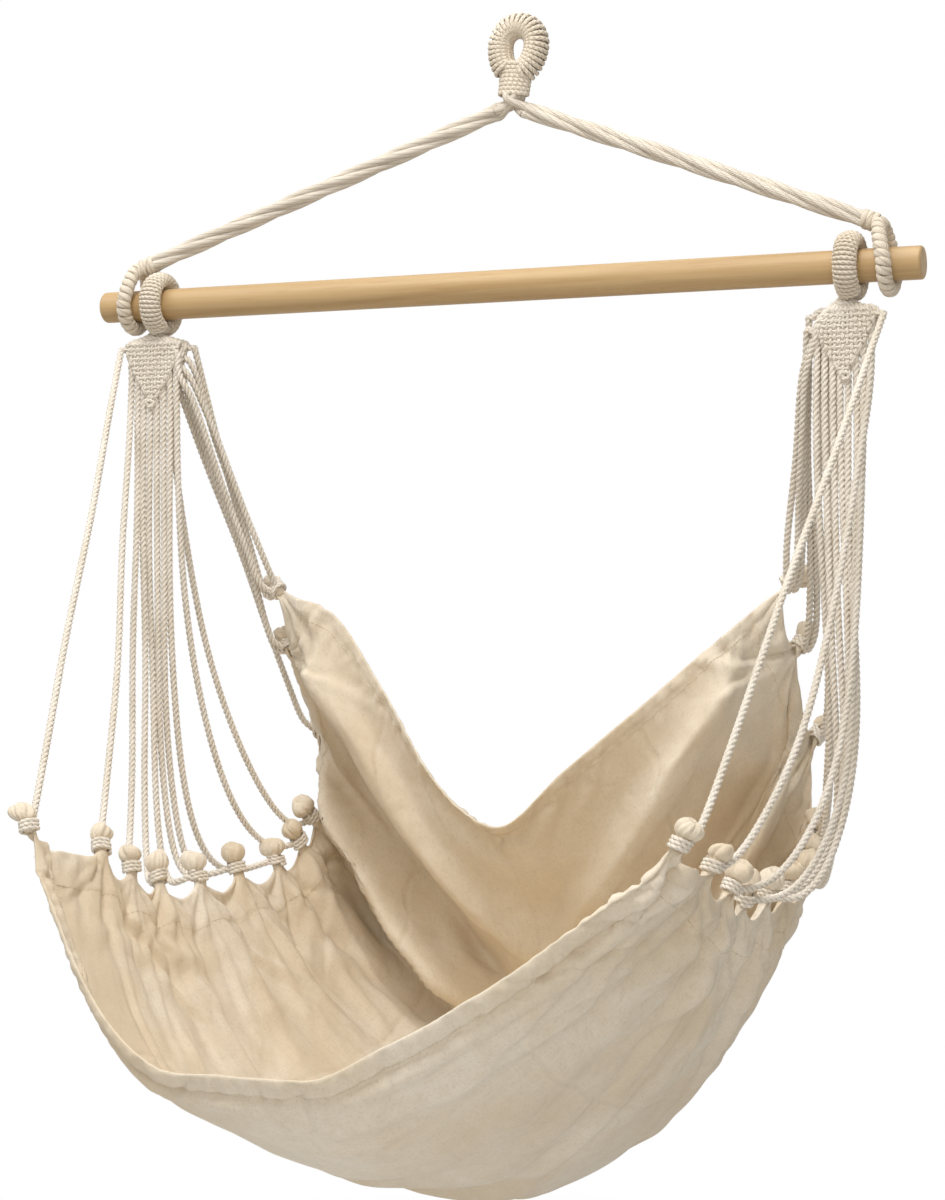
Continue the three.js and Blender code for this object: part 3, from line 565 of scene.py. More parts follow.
# Soft lamps: name, place and size in metres, power and tint
LAMP_AIM = (0, 0, -0.8)
LAMPS = (
    ("key", (0.3, -1.9, 2.2), 1.2, 62, (1, 1, 1)),
    ("fill", (-2.0, -1.5, 2.0), 1.6, 42, (0.95, 0.975, 1.0)),
    ("front", (1.3, -2.6, -0.1), 1.4, 15, (1, 1, 1)),
    ("top", (-0.1, -0.1, 2.4), 1.6, 28, (1, 1, 1)),
)


def unit(vector):
    return vector / np.linalg.norm(vector)


def smoothstep(value, low, high):
    t = np.clip((value - low) / (high - low), 0, 1)
    return t * t * (3 - 2 * t)


def new_object(name, data):
    """New object, linked to the scene."""
    made = bpy.data.objects.new(name, data)
    bpy.context.scene.collection.objects.link(made)
    return made


# Camera
def add_camera():
    """Camera at the photograph's place and viewing angle."""
    cos_a, sin_a = math.cos(CAMERA_AZIMUTH), math.sin(CAMERA_AZIMUTH)
    cos_p, sin_p = math.cos(CAMERA_PITCH), math.sin(CAMERA_PITCH)
    ahead = Vector((-sin_a * cos_p, cos_a * cos_p, sin_p))
    level = Vector((cos_a, sin_a, 0))
    above = level.cross(ahead)
    right = level * math.cos(CAMERA_ROLL) + above * math.sin(CAMERA_ROLL)
    up = above * math.cos(CAMERA_ROLL) - level * math.sin(CAMERA_ROLL)
    data = bpy.data.cameras.new("camera")
    data.sensor_fit = "VERTICAL"
    data.sensor_height = SENSOR
    data.lens = SENSOR * FOCAL_PIXELS / IMAGE_HEIGHT
    camera = new_object("camera", data)
    turn = Matrix((right, up, -ahead)).transposed().to_4x4()
    camera.matrix_world = Matrix.Translation(Vector(CAMERA_PLACE) * MM) @ turn
    bpy.context.scene.camera = camera


# Mesh helpers
def grid_quads(rows, columns, around=False, on_and_on=False):
    """Faces of a grid of points, row by row. It may close around its columns and its rows."""
    index = np.arange(rows * columns).reshape(rows, columns)
    after = np.roll(index, -1, 1)
    below, beyond = np.roll(index, -1, 0), np.roll(after, -1, 0)
    quads = np.stack([index, after, beyond, below], -1)
    return quads[:None if on_and_on else -1, :None if around else -1].reshape(-1, 4)


def grid_places(across, beside, along):
    """Corner coordinates of the faces of a grid that closes around its columns."""
    return np.stack([
        np.stack([across[:-1], along[:-1]], -1), np.stack([beside[:-1], along[:-1]], -1),
        np.stack([beside[1:], along[1:]], -1), np.stack([across[1:], along[1:]], -1),
    ], 2).reshape(-1, 4, 2)


def path_lengths(path):
    """How far along a path each of its points lies."""
    return np.concatenate([[0], np.cumsum(np.linalg.norm(np.diff(path, axis=0), axis=1))])


def unit_rows(vectors):
    return vectors / np.linalg.norm(vectors, axis=1)[:, None]


class Shape:
    """Points, faces and the faces' corner coordinates, gathered part by part."""

    def __init__(self):
        self.points, self.faces, self.places = [], [], []
        self.count = 0

    def add(self, points, faces, places):
        self.points.append(np.asarray(points, float))
        self.faces.extend((np.asarray(faces) + self.count).tolist())
        self.places.extend(np.asarray(places, float).tolist())
        self.count += len(points)

    def add_caps(self, rings):
        """Flat faces over rings of points, given by their numbers in the shape."""
        for ring in rings:
            self.faces.append(list(ring))
            self.places.append([[0, 0]] * len(ring))

    def add_turned(self, rings, places):
        """Rings of points from one end to the other. Returns the numbers of the points round
        each end, in the order that makes a face look outwards."""
        count, sides = rings.shape[:2]
        start = self.count
        self.add(rings.reshape(-1, 3), grid_quads(count, sides, around=True)[:, BACKWARD], places)
        return range(start, start + sides), range(self.count - 1, self.count - 1 - sides, -1)

    def add_round(self, path, rings, across, beside, along):
        """Rings of points along a path, closed by a fan of faces at each end."""
        count, sides = rings.shape[:2]
        start = self.count
        self.add(np.concatenate([rings.reshape(-1, 3), path[[0, -1]]]),
                 grid_quads(count, sides, around=True), grid_places(across, beside, along))
        first = range(start, start + sides)
        last = range(start + (count - 1) * sides, start + count * sides)
        head, tail = start + count * sides, start + count * sides + 1
        self.add_caps([head, first[j - sides + 1], first[j]] for j in range(sides))
        self.add_caps([tail, last[j], last[j - sides + 1]] for j in range(sides))

    def piece(self, name, body, material, replaces=()):
        """One object in metres that rides on a body of the model."""
        mesh = bpy.data.meshes.new(name)
        mesh.from_pydata((np.concatenate(self.points) * MM).tolist(), [], self.faces)
        corners = np.array([place for face in self.places for place in face])
        layer = mesh.uv_layers.new(name="lay")
        layer.uv.foreach_set("vector", corners.astype(np.float32).ravel())
        mesh.polygons.foreach_set("use_smooth", [True] * len(mesh.polygons))
        mesh.materials.append(material)
        obj = new_object(name, mesh)
        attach(obj, body)
        if replaces:
            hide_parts(*replaces)
        return obj


def carried_frames(path, start=None):
    """Two side vectors along a path, carried with as little twist as can be."""
    tangents = unit_rows(np.gradient(path, axis=0))
    side = np.array(start if start is not None else [0.0, 1.0, 0.0])
    if abs(side @ tangents[0]) > 0.9:
        side = np.array([1.0, 0.0, 0.0])
    firsts = np.empty_like(path)
    for i, tangent in enumerate(tangents):
        side = unit(side - tangent * (side @ tangent))
        firsts[i] = side
    return firsts, np.cross(tangents, firsts)


def around_path(centres, half_first, half_second, angles, firsts, seconds):
    """Rings of points round centres, by the angles and the half thickness each way."""
    return (centres[:, None] + (half_first * np.cos(angles))[..., None] * firsts[:, None]
            + (half_second * np.sin(angles))[..., None] * seconds[:, None])


def add_tube(shape, path, radius, sides, lobes=1, lay=None, start=None, skip=0):
    """Closed tube round a path. radius(length, angle) gives its half thickness; the corner
    coordinates are the place across a strand, in strands, and the place along, in metres."""
    lengths = skip + path_lengths(path)
    firsts, seconds = carried_frames(path, start)
    angles = np.arange(sides) * TURN / sides
    half = radius(lengths[:, None], angles[None, :])
    rings = around_path(path, half, half, angles, firsts, seconds)
    turned = angles[None, :] - lengths[:, None] * (TURN / lay if lay else 0)
    across = turned * lobes / TURN
    along = np.broadcast_to((lengths * MM)[:, None], across.shape)
    shape.add_round(path, rings, across, across + lobes / sides, along)


def laid_radius(diameter, lay, lobes, core_share):
    """Half thickness of a rope of several strands laid together."""
    centre = diameter / 2 * core_share
    strand = diameter / 2 - centre

    def radius(length, angle):
        turned = (angle - TURN * length / lay) % (TURN / lobes) - math.pi / lobes
        return centre * np.cos(turned) + np.sqrt(
            np.maximum(strand ** 2 - (centre * np.sin(turned)) ** 2, 0))
    return radius


def add_rope(shape, path, diameter=ROPE_DIAMETER, lay=ROPE_LAY, skip=0):
    """Rope of three strands."""
    add_tube(shape, path, laid_radius(diameter, lay, ROPE_STRANDS, ROPE_CORE_SHARE), ROPE_SIDES,
             lobes=ROPE_STRANDS, lay=lay, skip=skip)


def add_yarns(shape, path, diameter, skip=0):
    """Strand of long yarns that hardly twist."""
    add_tube(shape, path, laid_radius(diameter, YARN_LAY, YARN_LOBES, YARN_CORE_SHARE), YARN_SIDES,
             lobes=YARN_LOBES, lay=YARN_LAY, skip=skip)


def resample(path, step):
    """Points at even steps along a path."""
    lengths = path_lengths(path)
    count = max(int(round(lengths[-1] / step)), 2)
    places = np.linspace(0, lengths[-1], count + 1)
    return np.stack([np.interp(places, lengths, path[:, i]) for i in range(3)], 1)


def smooth_path(points, step):
    """Catmull-Rom curve through points, at even steps."""
    points = np.asarray(points, float)
    ends = np.concatenate([[2 * points[0] - points[1]], points, [2 * points[-1] - points[-2]]])
    t = np.linspace(0, 1, CURVE_POINTS)[:-1, None]
    parts = [catmull(ends[i], ends[i + 1], ends[i + 2], ends[i + 3], t)
             for i in range(len(points) - 1)]
    return resample(np.concatenate(parts + [points[-1:]]), step)


def catmull(a, b, c, d, t):
    return 0.5 * (2 * b + (c - a) * t + (2 * a - 5 * b + 4 * c - d) * t * t
                  + (3 * b - a - 3 * c + d) * t ** 3)


# Materials
def shader(name, roughness, sheen=0.0):
    """New material with a principled shader, its tree and its shader."""
    material = bpy.data.materials.new(name)
    material.use_nodes = True
    bsdf = material.node_tree.nodes["Principled BSDF"]
    bsdf.inputs["Roughness"].default_value = roughness
    bsdf.inputs["Sheen Weight"].default_value = sheen
    bsdf.inputs["Sheen Roughness"].default_value = 0.6
    return material, material.node_tree, bsdf


def node(tree, kind, settings=(), **inputs):
    """New node; an input is a value or another node's output."""
    made = tree.nodes.new(kind)
    for key, value in dict(settings).items():
        setattr(made, key, value)
    for key, value in inputs.items():
        socket = made.inputs[int(key[1:])] if key[1:].isdigit() else made.inputs[key.replace("_", " ")]
        if isinstance(value, bpy.types.NodeSocket):
            tree.links.new(value, socket)
        else:
            socket.default_value = value
    return made


def maths(tree, operation, a, b=0.0, c=0.0):
    made = node(tree, "ShaderNodeMath", {"operation": operation}, i0=a, i1=b, i2=c)
    return made.outputs[0]


def noise(tree, vector, scale, detail=3.0, rough=0.5, distortion=0.0):
    made = node(tree, "ShaderNodeTexNoise", Vector=vector, Scale=scale, Detail=detail,
                Roughness=rough, Distortion=distortion)
    return made.outputs["Fac"]


def mix(tree, factor, first, second):
    made = node(tree, "ShaderNodeMix", {"data_type": "RGBA"})
    for socket, value in zip((made.inputs[0], made.inputs[6], made.inputs[7]), (factor, first, second)):
        if isinstance(value, bpy.types.NodeSocket):
            tree.links.new(value, socket)
        else:
            socket.default_value = value
    return made.outputs[2]


def ramp(tree, value, low, high):
    """Smooth rise from 0 to 1 between two values."""
    made = node(tree, "ShaderNodeMapRange", {"interpolation_type": "SMOOTHSTEP"},
                Value=value, From_Min=low, From_Max=high)
    return made.outputs[0]


def finish_bump(tree, bsdf, height, distance, strength=1.0, below=None):
    made = node(tree, "ShaderNodeBump", Height=height, Distance=distance, Strength=strength)
    if below:
        tree.links.new(below.outputs[0], made.inputs["Normal"])
    tree.links.new(made.outputs[0], bsdf.inputs["Normal"])
    return made


def colour(red, green, blue):
    """Colour written as it shows on a screen, from 0 to 255."""
    def linear(value):
        share = value / 255
        return share / 12.92 if share <= 0.04045 else ((share + 0.055) / 1.055) ** 2.4
    return (linear(red), linear(green), linear(blue), 1.0)


def times(tree, first, second):
    return maths(tree, "MULTIPLY", first, second)


def object_place(tree):
    """Place on an object, in metres."""
    return node(tree, "ShaderNodeTexCoord").outputs["Object"]


def lay_place(tree):
    """Corner coordinates, and their two parts."""
    lay = node(tree, "ShaderNodeUVMap", {"uv_map": "lay"}).outputs[0]
    parts = node(tree, "ShaderNodeSeparateXYZ", Vector=lay).outputs
    return lay, parts[0], parts[1]


def stretched(tree, vector, scale):
    return node(tree, "ShaderNodeMapping", Vector=vector, Scale=scale).outputs[0]


def finish_colour(tree, bsdf, base, tints):
    """Base colour under tints: the amount of each, from 0 to 1, its share and its colour."""
    for amount, share, tint in tints:
        base = mix(tree, times(tree, amount, share), base, colour(*tint))
    tree.links.new(base, bsdf.inputs["Base Color"])


def two_colours(tree, factor, colours):
    """Patches of two colours by a noise."""
    return mix(tree, ramp(tree, factor, 0.3, 0.7), colour(*colours[0]), colour(*colours[1]))


def wood_material():
    """Pale beech: long soft bands, small dark flecks and fine pores."""
    material, tree, bsdf = shader("bar_wood", 0.5)
    place = object_place(tree)
    fine = stretched(tree, place, WOOD_PORE_SCALE)
    bands = noise(tree, stretched(tree, place, WOOD_BAND_SCALE), 1.0, 4, 0.6, 0.6)
    pores = noise(tree, fine, 1.0, 3, 0.6)
    flecks = ramp(tree, noise(tree, fine, 0.6, 2, 0.4), 0.62, 0.72)
    finish_colour(tree, bsdf, two_colours(tree, bands, WOOD_COLOURS), (
        (flecks, 0.35, WOOD_FLECK), (pores, 0.25, WOOD_PORE)))
    shine = node(tree, "ShaderNodeMapRange", Value=pores, To_Min=0.42, To_Max=0.58).outputs[0]
    tree.links.new(shine, bsdf.inputs["Roughness"])
    finish_bump(tree, bsdf, pores, WOOD_BUMP, 0.6)
    return material


def strand_material(name, colours, yarn, groove_shade_share):
    """Cotton rope or cord: painted shade between the strands, fine yarn lines and loose fibres.
    The yarn's width is in metres."""
    material, tree, bsdf = shader(name, 0.92, 0.12)
    _, across, along = lay_place(tree)
    inside = maths(tree, "PINGPONG", across, 0.5)
    # Painted shade: darker at the edges of each strand, where the strands meet
    groove_shade = maths(tree, "SUBTRACT", 1.0, ramp(tree, inside, 0.0, GROOVE_SHADE_SHARE))
    lines = maths(tree, "ADD", times(tree, along, 1 / yarn), times(tree, across, YARN_SLANT))
    yarns = maths(tree, "SINE", times(tree, lines, TURN))
    place = object_place(tree)
    fibre = noise(tree, place, 1400, 3, 0.7)
    patches = noise(tree, place, 22, 3, 0.55)
    finish_colour(tree, bsdf, two_colours(tree, patches, colours), (
        (groove_shade, groove_shade_share, STRAND_GROOVE_SHADE), (ramp(tree, fibre, 0.45, 0.75), 0.14, STRAND_FIBRE)))
    first = finish_bump(tree, bsdf, fibre, FIBRE_BUMP, 0.5)
    finish_bump(tree, bsdf, yarns, YARN_BUMP, 0.7, first)
    return material


def canvas_material():
    """Undyed canvas: plain weave, slubs, soft mottling, small brown flecks and old folds."""
    material, tree, bsdf = shader("canvas", 0.9, 0.1)
    lay, u, v = lay_place(tree)
    place = object_place(tree)
    weft, warp = (maths(tree, "SINE", times(tree, part, TURN / WEAVE_PITCH)) for part in (u, v))
    slub_u, slub_v = (noise(tree, stretched(tree, lay, scale), 1, 3) for scale in SLUB_SCALES)
    slubs = maths(tree, "ADD", slub_u, slub_v)
    broad = noise(tree, place, 7, 4, 0.55)
    small = noise(tree, place, 70, 3, 0.6)
    grain = noise(tree, place, 330, 3, 0.7)
    cells = node(tree, "ShaderNodeTexVoronoi", Vector=lay, Scale=75, Randomness=1).outputs
    pick = node(tree, "ShaderNodeSeparateColor", Color=cells["Color"]).outputs[0]
    spot = maths(tree, "SUBTRACT", 1.0, ramp(tree, cells["Distance"], 0.03, 0.07))
    fleck = times(tree, maths(tree, "GREATER_THAN", pick, FLECK_SHARE), spot)
    bent = node(tree, "ShaderNodeTexNoise", Vector=place, Scale=17.0, Detail=2.0, Distortion=0.6)
    crumple = maths(tree, "ABSOLUTE", maths(tree, "SUBTRACT", bent.outputs["Fac"], 0.5))
    finish_colour(tree, bsdf, two_colours(tree, broad, CANVAS_COLOURS), (
        (ramp(tree, small, 0.4, 0.75), 0.3, CANVAS_MOTTLE),
        (ramp(tree, slubs, 0.95, 1.3), 0.25, CANVAS_SLUB),
        (ramp(tree, grain, 0.48, 0.72), 0.35, CANVAS_GRAIN),
        (fleck, 0.55, CANVAS_FLECK)))
    heights = (
        noise(tree, place, 11, 3, 0.5, 0.8), ramp(tree, crumple, 0.0, 0.22), grain,
        fold_lines(tree, u, v, broad), slubs, times(tree, weft, warp),
    )
    bump = None
    for height, (distance, strength) in zip(heights, CANVAS_BUMPS):
        bump = finish_bump(tree, bsdf, height, distance, strength, bump)
    return material


def fold_lines(tree, u, v, wander):
    """Creases left by the way the cloth lay folded: 0 on a crease, 1 away from it."""
    height = 1.0
    shift = times(tree, maths(tree, "SUBTRACT", wander, 0.5), OLD_FOLD_WANDER)
    for coordinate, places in ((u, OLD_FOLD_COLUMNS), (v, OLD_FOLD_ROWS)):
        for place in places:
            away = maths(tree, "ABSOLUTE", maths(tree, "ADD", shift, maths(
                tree, "SUBTRACT", coordinate, place)))
            height = maths(tree, "MINIMUM", height, ramp(tree, away, 0.0, OLD_FOLD_WIDTH))
    return height


def thread_material():
    material, tree, bsdf = shader("stitch_thread", 0.8)
    light, dark = THREAD_COLOURS
    base = mix(tree, noise(tree, object_place(tree), 900), colour(*light), colour(*dark))
    finish_colour(tree, bsdf, base, ())
    return material


# Spreader bar
def make_bar(material):
    """Round bar with softened ends."""
    end = BAR_LENGTH / 2
    profile = [(end, BAR_TIP_RADIUS)]
    for i in range(BAR_END_STEPS + 1):
        angle = i / BAR_END_STEPS * math.pi / 2
        profile.append((end - BAR_END_ROUND * (1 - math.cos(angle)),
                        BAR_RADIUS - BAR_END_ROUND * (1 - math.sin(angle))))
    along = np.linspace(end - BAR_END_ROUND, BAR_END_ROUND - end, BAR_RINGS)[1:-1]
    profile = profile + [(x, BAR_RADIUS) for x in along] + [(-x, r) for x, r in reversed(profile)]
    xs, rs = (np.array(v) for v in zip(*profile))
    angles = np.arange(BAR_SIDES) * TURN / BAR_SIDES
    rings = np.stack([
        np.broadcast_to(xs[:, None], (len(xs), BAR_SIDES)),
        rs[:, None] * np.cos(angles), rs[:, None] * np.sin(angles)], -1) + BAR_CENTRE
    shape = Shape()
    shape.add_caps(shape.add_turned(rings, np.zeros(((len(xs) - 1) * BAR_SIDES, 4, 2))))
    return shape.piece("spreader_bar_wood", "bar", material, ["spreader_bar"])


# Loops
def loop_point(loop, angle):
    """Point of a loop's middle line. The angle runs from the loop's bottom."""
    low = np.cos(angle) > 0
    rise = -np.cos(angle) * np.where(low, loop["below"], loop["above"])
    reach = np.sin(angle) * loop["half"]
    lean = np.maximum(rise, 0) / loop["above"] * loop.get("lean", 0)
    return (loop["centre"] + np.outer(rise, loop["up"]) + np.outer(reach, loop["side"])
            + np.outer(lean, [1, 0, 0]))


def loop_stations(loop, start, end, count):
    """Middle, outward and across vectors at places evenly spaced along a loop."""
    angles = np.linspace(start, end, LOOP_POINTS)
    lengths = path_lengths(loop_point(loop, angles))
    even = np.interp(np.linspace(0, lengths[-1], count), lengths, angles)
    middle = loop_point(loop, even)
    ahead = loop_point(loop, even + LOOP_NUDGE) - loop_point(loop, even - LOOP_NUDGE)
    tangent = unit_rows(ahead)
    across = unit(np.cross(loop["side"], loop["up"]))
    outward = np.cross(tangent, across)
    facing = np.sum(outward * (middle - loop["centre"]), 1) < 0
    outward[facing] *= -1
    return middle, outward, np.broadcast_to(across, middle.shape), lengths[-1]


def wound_path(middle, first, second, turns, half_first, half_second):
    """Cord wound round stations; first and second are its stations' side vectors."""
    count = len(middle)
    angle = np.linspace(0, turns * TURN, count)
    around = (np.cos(angle)[:, None] * half_first * first
              + np.sin(angle)[:, None] * half_second * second)
    return middle + around


def add_winding(shape, loop, free_angle, turns, half_first, half_second, width, thickness, plies):
    """Tight turns of cord of this width and thickness round a loop, but for an angle at each
    side of its bottom. The halves are the bundle's outer ones."""
    middle, first, second, _ = loop_stations(loop, free_angle, TURN - free_angle, turns * TURN_POINTS)
    path = wound_path(middle, first, second, turns, half_first - thickness / 2, half_second - thickness / 2)
    add_flat_cord(shape, path, middle, width, thickness, plies=plies)


def add_flat_cord(shape, path, middle, width, thickness, lay=CORD_LAY, sides=CORD_SIDES,
                  plies=PLIES_SHARE):
    """Cord pressed flat against what it is wound on; middle is the bundle's own line and
    plies the depth share of its two plies."""
    tangents = unit_rows(np.gradient(path, axis=0))
    out = path - middle
    out = unit_rows(out - tangents * np.sum(out * tangents, 1)[:, None])
    lengths = path_lengths(path)
    angles = np.arange(sides) * TURN / sides
    strand = laid_radius(2, lay, 2, plies)(lengths[:, None], angles[None, :])
    rings = around_path(path, strand * thickness / 2, strand * width / 2, angles, out,
                        np.cross(tangents, out))
    across = (angles[None, :] - TURN * lengths[:, None] / lay) * 2 / TURN
    along = np.broadcast_to((lengths * MM)[:, None], across.shape)
    shape.add_round(path, rings, across, across + 2 / sides, along)


def add_loop_core(shape, loop, half_first, half_second):
    """Bundle of rope inside a winding."""
    middle, first, second, _ = loop_stations(loop, 0.0, TURN, CORE_STEPS + 1)
    angles = np.arange(CORE_SIDES) * TURN / CORE_SIDES
    rings = around_path(middle, half_first, half_second, angles, first, second)[:-1]
    quads = grid_quads(CORE_STEPS, CORE_SIDES, around=True, on_and_on=True)
    shape.add(rings.reshape(-1, 3), quads, np.zeros((len(quads), 4, 2)))


def eye_place(points):
    """Points of the leaning eye in the model's frame."""
    x, y, z = np.asarray(points, float).T
    cos_l, sin_l = math.cos(EYE_LEAN), math.sin(EYE_LEAN)
    return np.stack([x * cos_l + z * sin_l, y, z * cos_l - x * sin_l], 1)


def make_eye(core_material, cord_material):
    """Rope eye bound with cord, and its bound neck."""
    up, side = eye_place([[0, 0, 1], [1, 0, 0]])
    half = (EYE_HOLE_WIDTH + EYE_TUBE) / 2
    loop = {
        "centre": eye_place([[EYE_SHIFT, 0, EYE_RISE - EYE_HOLE_WIDTH / 2]])[0], "up": up, "side": side,
        "half": half + EYE_SIDE_EASE, "above": half + EYE_TOP_EASE,
        "below": EYE_HOLE_HEIGHT - EYE_HOLE_WIDTH / 2 + EYE_TUBE / 2 * EYE_FOOT_SHARE,
    }
    core = Shape()
    inner = EYE_TUBE / 2 - CORD_THICKNESS + EYE_CORE_EASE
    add_loop_core(core, loop, inner, inner)
    core.piece("hanging_eye_bundle", "yoke", core_material, ["hanging_eye_core"])

    winding = Shape()
    outer = EYE_TUBE / 2 + EYE_CORD_LIFT
    add_winding(winding, loop, EYE_FREE_ANGLE, EYE_TURNS, outer, outer, EYE_CORD * CORD_OVERLAP_SHARE,
                CORD_THICKNESS, EYE_PLIES_SHARE)
    winding.piece("hanging_eye_cord", "yoke", cord_material, ["hanging_eye_whipping"])

    neck = Shape()
    heights = np.linspace(NECK_TOP, NECK_FOOT - 1, NECK_TURNS * NECK_TURN_POINTS)
    middle = eye_place(np.stack([0 * heights, 0 * heights, heights], 1))
    depths, widths = (np.interp(heights, [NECK_FOOT, NECK_HEAD, NECK_TOP], halves)[:, None]
                      for halves in (NECK_HALF_DEPTHS, NECK_HALF_WIDTHS))
    path = wound_path(middle, np.array([[0.0, 1.0, 0.0]]) * depths, side[None, :] * widths,
                      NECK_TURNS, 1, 1)
    add_flat_cord(neck, path, middle, NECK_CORD, NECK_CORD_THICKNESS, plies=NECK_PLIES_SHARE)
    neck.piece("neck_cord", "yoke", cord_material, ["neck_whipping"])


def crown_point():
    return eye_place([[0, 0, -CROWN_DROP / math.cos(EYE_LEAN)]])[0]


def make_yoke(rope_material, cord_material):
    """Two legs of several ropes, which cross under the eye's neck and end in wound loops."""
    knot = Shape()
    crown = crown_point()
    for side_name, side in SIDES.items():
        loop_x = BAR_CENTRE[0] + side * (BAR_LENGTH / 2 - YOKE_LOOP_INSETS[side_name])
        loop_x += YOKE_LOOP_SHIFTS[side_name]
        foot = np.array([loop_x - side * YOKE_LOOP_LEAN, 0, BAR_CENTRE[2] + YOKE_LOOP_RISE])
        way = unit(crown - foot)
        flat = np.array([0.0, 1.0, 0.0])
        lift = np.cross(flat, way) * -side
        leg = Shape()
        spread = LEG_DIAMETER / 2 - LEG_ROPE_DIAMETER / 2 + LEG_SPREAD_EASE
        lengths = np.linspace(LEG_START, np.linalg.norm(crown - foot) - LEG_END, LEG_POINTS)
        for i in range(LEG_ROPES):
            angle = i * TURN / LEG_ROPES + side * TURN * lengths / LEG_LAY
            body = (foot + lengths[:, None] * way
                    + spread * (np.cos(angle)[:, None] * flat + np.sin(angle)[:, None] * lift))
            # over the knot, then into the neck on the far side
            over, into = (
                [-side * (reach + step * (i % (LEG_ROPES - 1))), (i - (LEG_ROPES - 1) / 2) * spacing,
                 NECK_FOOT + height] for reach, step, spacing, height in (KNOT_OVER, KNOT_INTO))
            over[1] -= side * KNOT_STAGGER
            path = smooth_path(np.concatenate([body, eye_place([over, into])]), ROPE_STEP)
            cut = len(path) - int(KNOT_ROPE_LENGTH / ROPE_STEP)
            add_yarns(leg, path[:cut], LEG_ROPE_DIAMETER)
            add_yarns(knot, path[cut - 1:], LEG_ROPE_DIAMETER, skip=(cut - 1) * ROPE_STEP)
        leg.piece(f"yoke_leg_{side_name}", "yoke", rope_material, [f"yoke_rope_{side_name}"])
        make_yoke_loop(side_name, side, loop_x, way, cord_material)
    knot.piece("crown_knot_strands", "yoke", rope_material, ["crown_knot"])


def bar_loop(x, tube_width, above):
    half = BAR_RADIUS + GAP + tube_width / 2
    return {"centre": np.array([x, 0, BAR_CENTRE[2]]), "up": np.array([0, 0, 1.0]),
            "side": np.array([0, 1.0, 0]), "half": half, "below": half, "above": above}


def make_yoke_loop(side_name, side, x, way, cord_material):
    """Cord wound round the bar loop at a leg's end and round the leg just over it."""
    loop = bar_loop(x, YOKE_LOOP_TUBE, YOKE_LOOP_RISE)
    loop["lean"] = -side * YOKE_LOOP_LEAN
    shape = Shape()
    half = YOKE_LOOP_TUBE / 2
    inner = half - YOKE_CORD_THICKNESS + YOKE_CORE_EASE
    add_loop_core(shape, loop, inner, inner)
    _, _, _, length = loop_stations(loop, 0, TURN, 2)
    turns = round(length / YOKE_LOOP_CORD)
    middle, first, second, _ = loop_stations(loop, -math.pi, math.pi, turns * TURN_POINTS)
    outer = half + YOKE_CORD_LIFT - YOKE_CORD_THICKNESS / 2
    path = wound_path(middle, first, second, turns, outer, outer)
    add_flat_cord(shape, path, middle, YOKE_LOOP_CORD * CORD_OVERLAP_SHARE, YOKE_CORD_THICKNESS,
                  YOKE_CORD_LAY, YOKE_CORD_SIDES, YOKE_PLIES_SHARE)
    foot = np.array([x + loop["lean"], 0, BAR_CENTRE[2] + YOKE_LOOP_RISE])
    places = np.linspace(COLLAR_START, COLLAR_START + COLLAR_TURNS * COLLAR_PITCH,
                         COLLAR_TURNS * TURN_POINTS)
    line = foot + places[:, None] * way
    flat = np.broadcast_to([0.0, 1.0, 0.0], line.shape)
    outer = LEG_DIAMETER / 2 - COLLAR_SINK
    path = wound_path(line, flat, np.cross(np.broadcast_to(way, line.shape), flat), COLLAR_TURNS,
                      outer, outer)
    add_flat_cord(shape, path, line, COLLAR_CORD, COLLAR_THICKNESS, YOKE_CORD_LAY, plies=YOKE_PLIES_SHARE)
    shape.piece(f"yoke_loop_cord_{side_name}", "yoke", cord_material,
                [f"yoke_loop_whipping_{side_name}"])


def make_harness(side_name, x, rope_material, cord_material):
    """Wound loop round the bar and the bundle of rope inside it."""
    half = BAR_RADIUS + GAP + HARNESS_TUBE_DEPTH / 2
    loop = bar_loop(x, HARNESS_TUBE_DEPTH, half)
    core = Shape()
    add_loop_core(core, loop, HARNESS_TUBE_DEPTH / 2 - HARNESS_CORE_SINK,
                  HARNESS_TUBE_WIDTH / 2 - HARNESS_CORE_SINK)
    core.piece(f"harness_bundle_{side_name}", "seat", rope_material,
               [f"harness_loop_core_{side_name}"])
    winding = Shape()
    length = (half + HARNESS_LENGTH_EASE) * (TURN - 2 * HARNESS_FREE_ANGLE)
    add_winding(winding, loop, HARNESS_FREE_ANGLE, round(length / HARNESS_CORD), HARNESS_TUBE_DEPTH / 2,
                HARNESS_TUBE_WIDTH / 2, HARNESS_CORD * HARNESS_OVERLAP_SHARE,
                CORD_THICKNESS * HARNESS_CORD_SHARE, HARNESS_PLIES_SHARE)
    winding.piece(f"harness_cord_{side_name}", "seat", cord_material,
                  [f"harness_loop_whipping_{side_name}"])


# Ropes
def clew_exit(group, place, x, side):
    """Bar-centred point where a rope leaves the clew, and its way there."""
    if group == "outer_side":
        edge = x + side * CLEW_WIDTH / 2
        return np.array([edge, -ROPE_ROW_OFFSET, -CLEW_DROP - CORNER_ROPE_DROP]), np.array([side, 0, 0.0])
    if group == "inner_side":
        edge = x - side * CLEW_WIDTH / 2
        back = INNER_ROPE_BACK - place * INNER_ROPE_STEP
        drop = CLEW_DROP + INNER_ROPE_DROP + place * INNER_ROPE_SPACING
        return np.array([edge, back, -drop]), np.array([-side, 0, 0.0])
    behind = group == "back_foot"
    slot = ROPE_ROW_SLOTS - len(ROPE_GROUPS[group]) + place if behind else place
    out = CLEW_WIDTH / 2 - (slot + 0.5) * CLEW_WIDTH / ROPE_ROW_SLOTS
    row = ROPE_ROW_OFFSET if behind else -ROPE_ROW_OFFSET
    height = CLEW_BACK_HEIGHT if behind else CLEW_HEIGHT
    return np.array([x + side * out, row, -CLEW_DROP - height]), np.array([0, 0, -1.0])


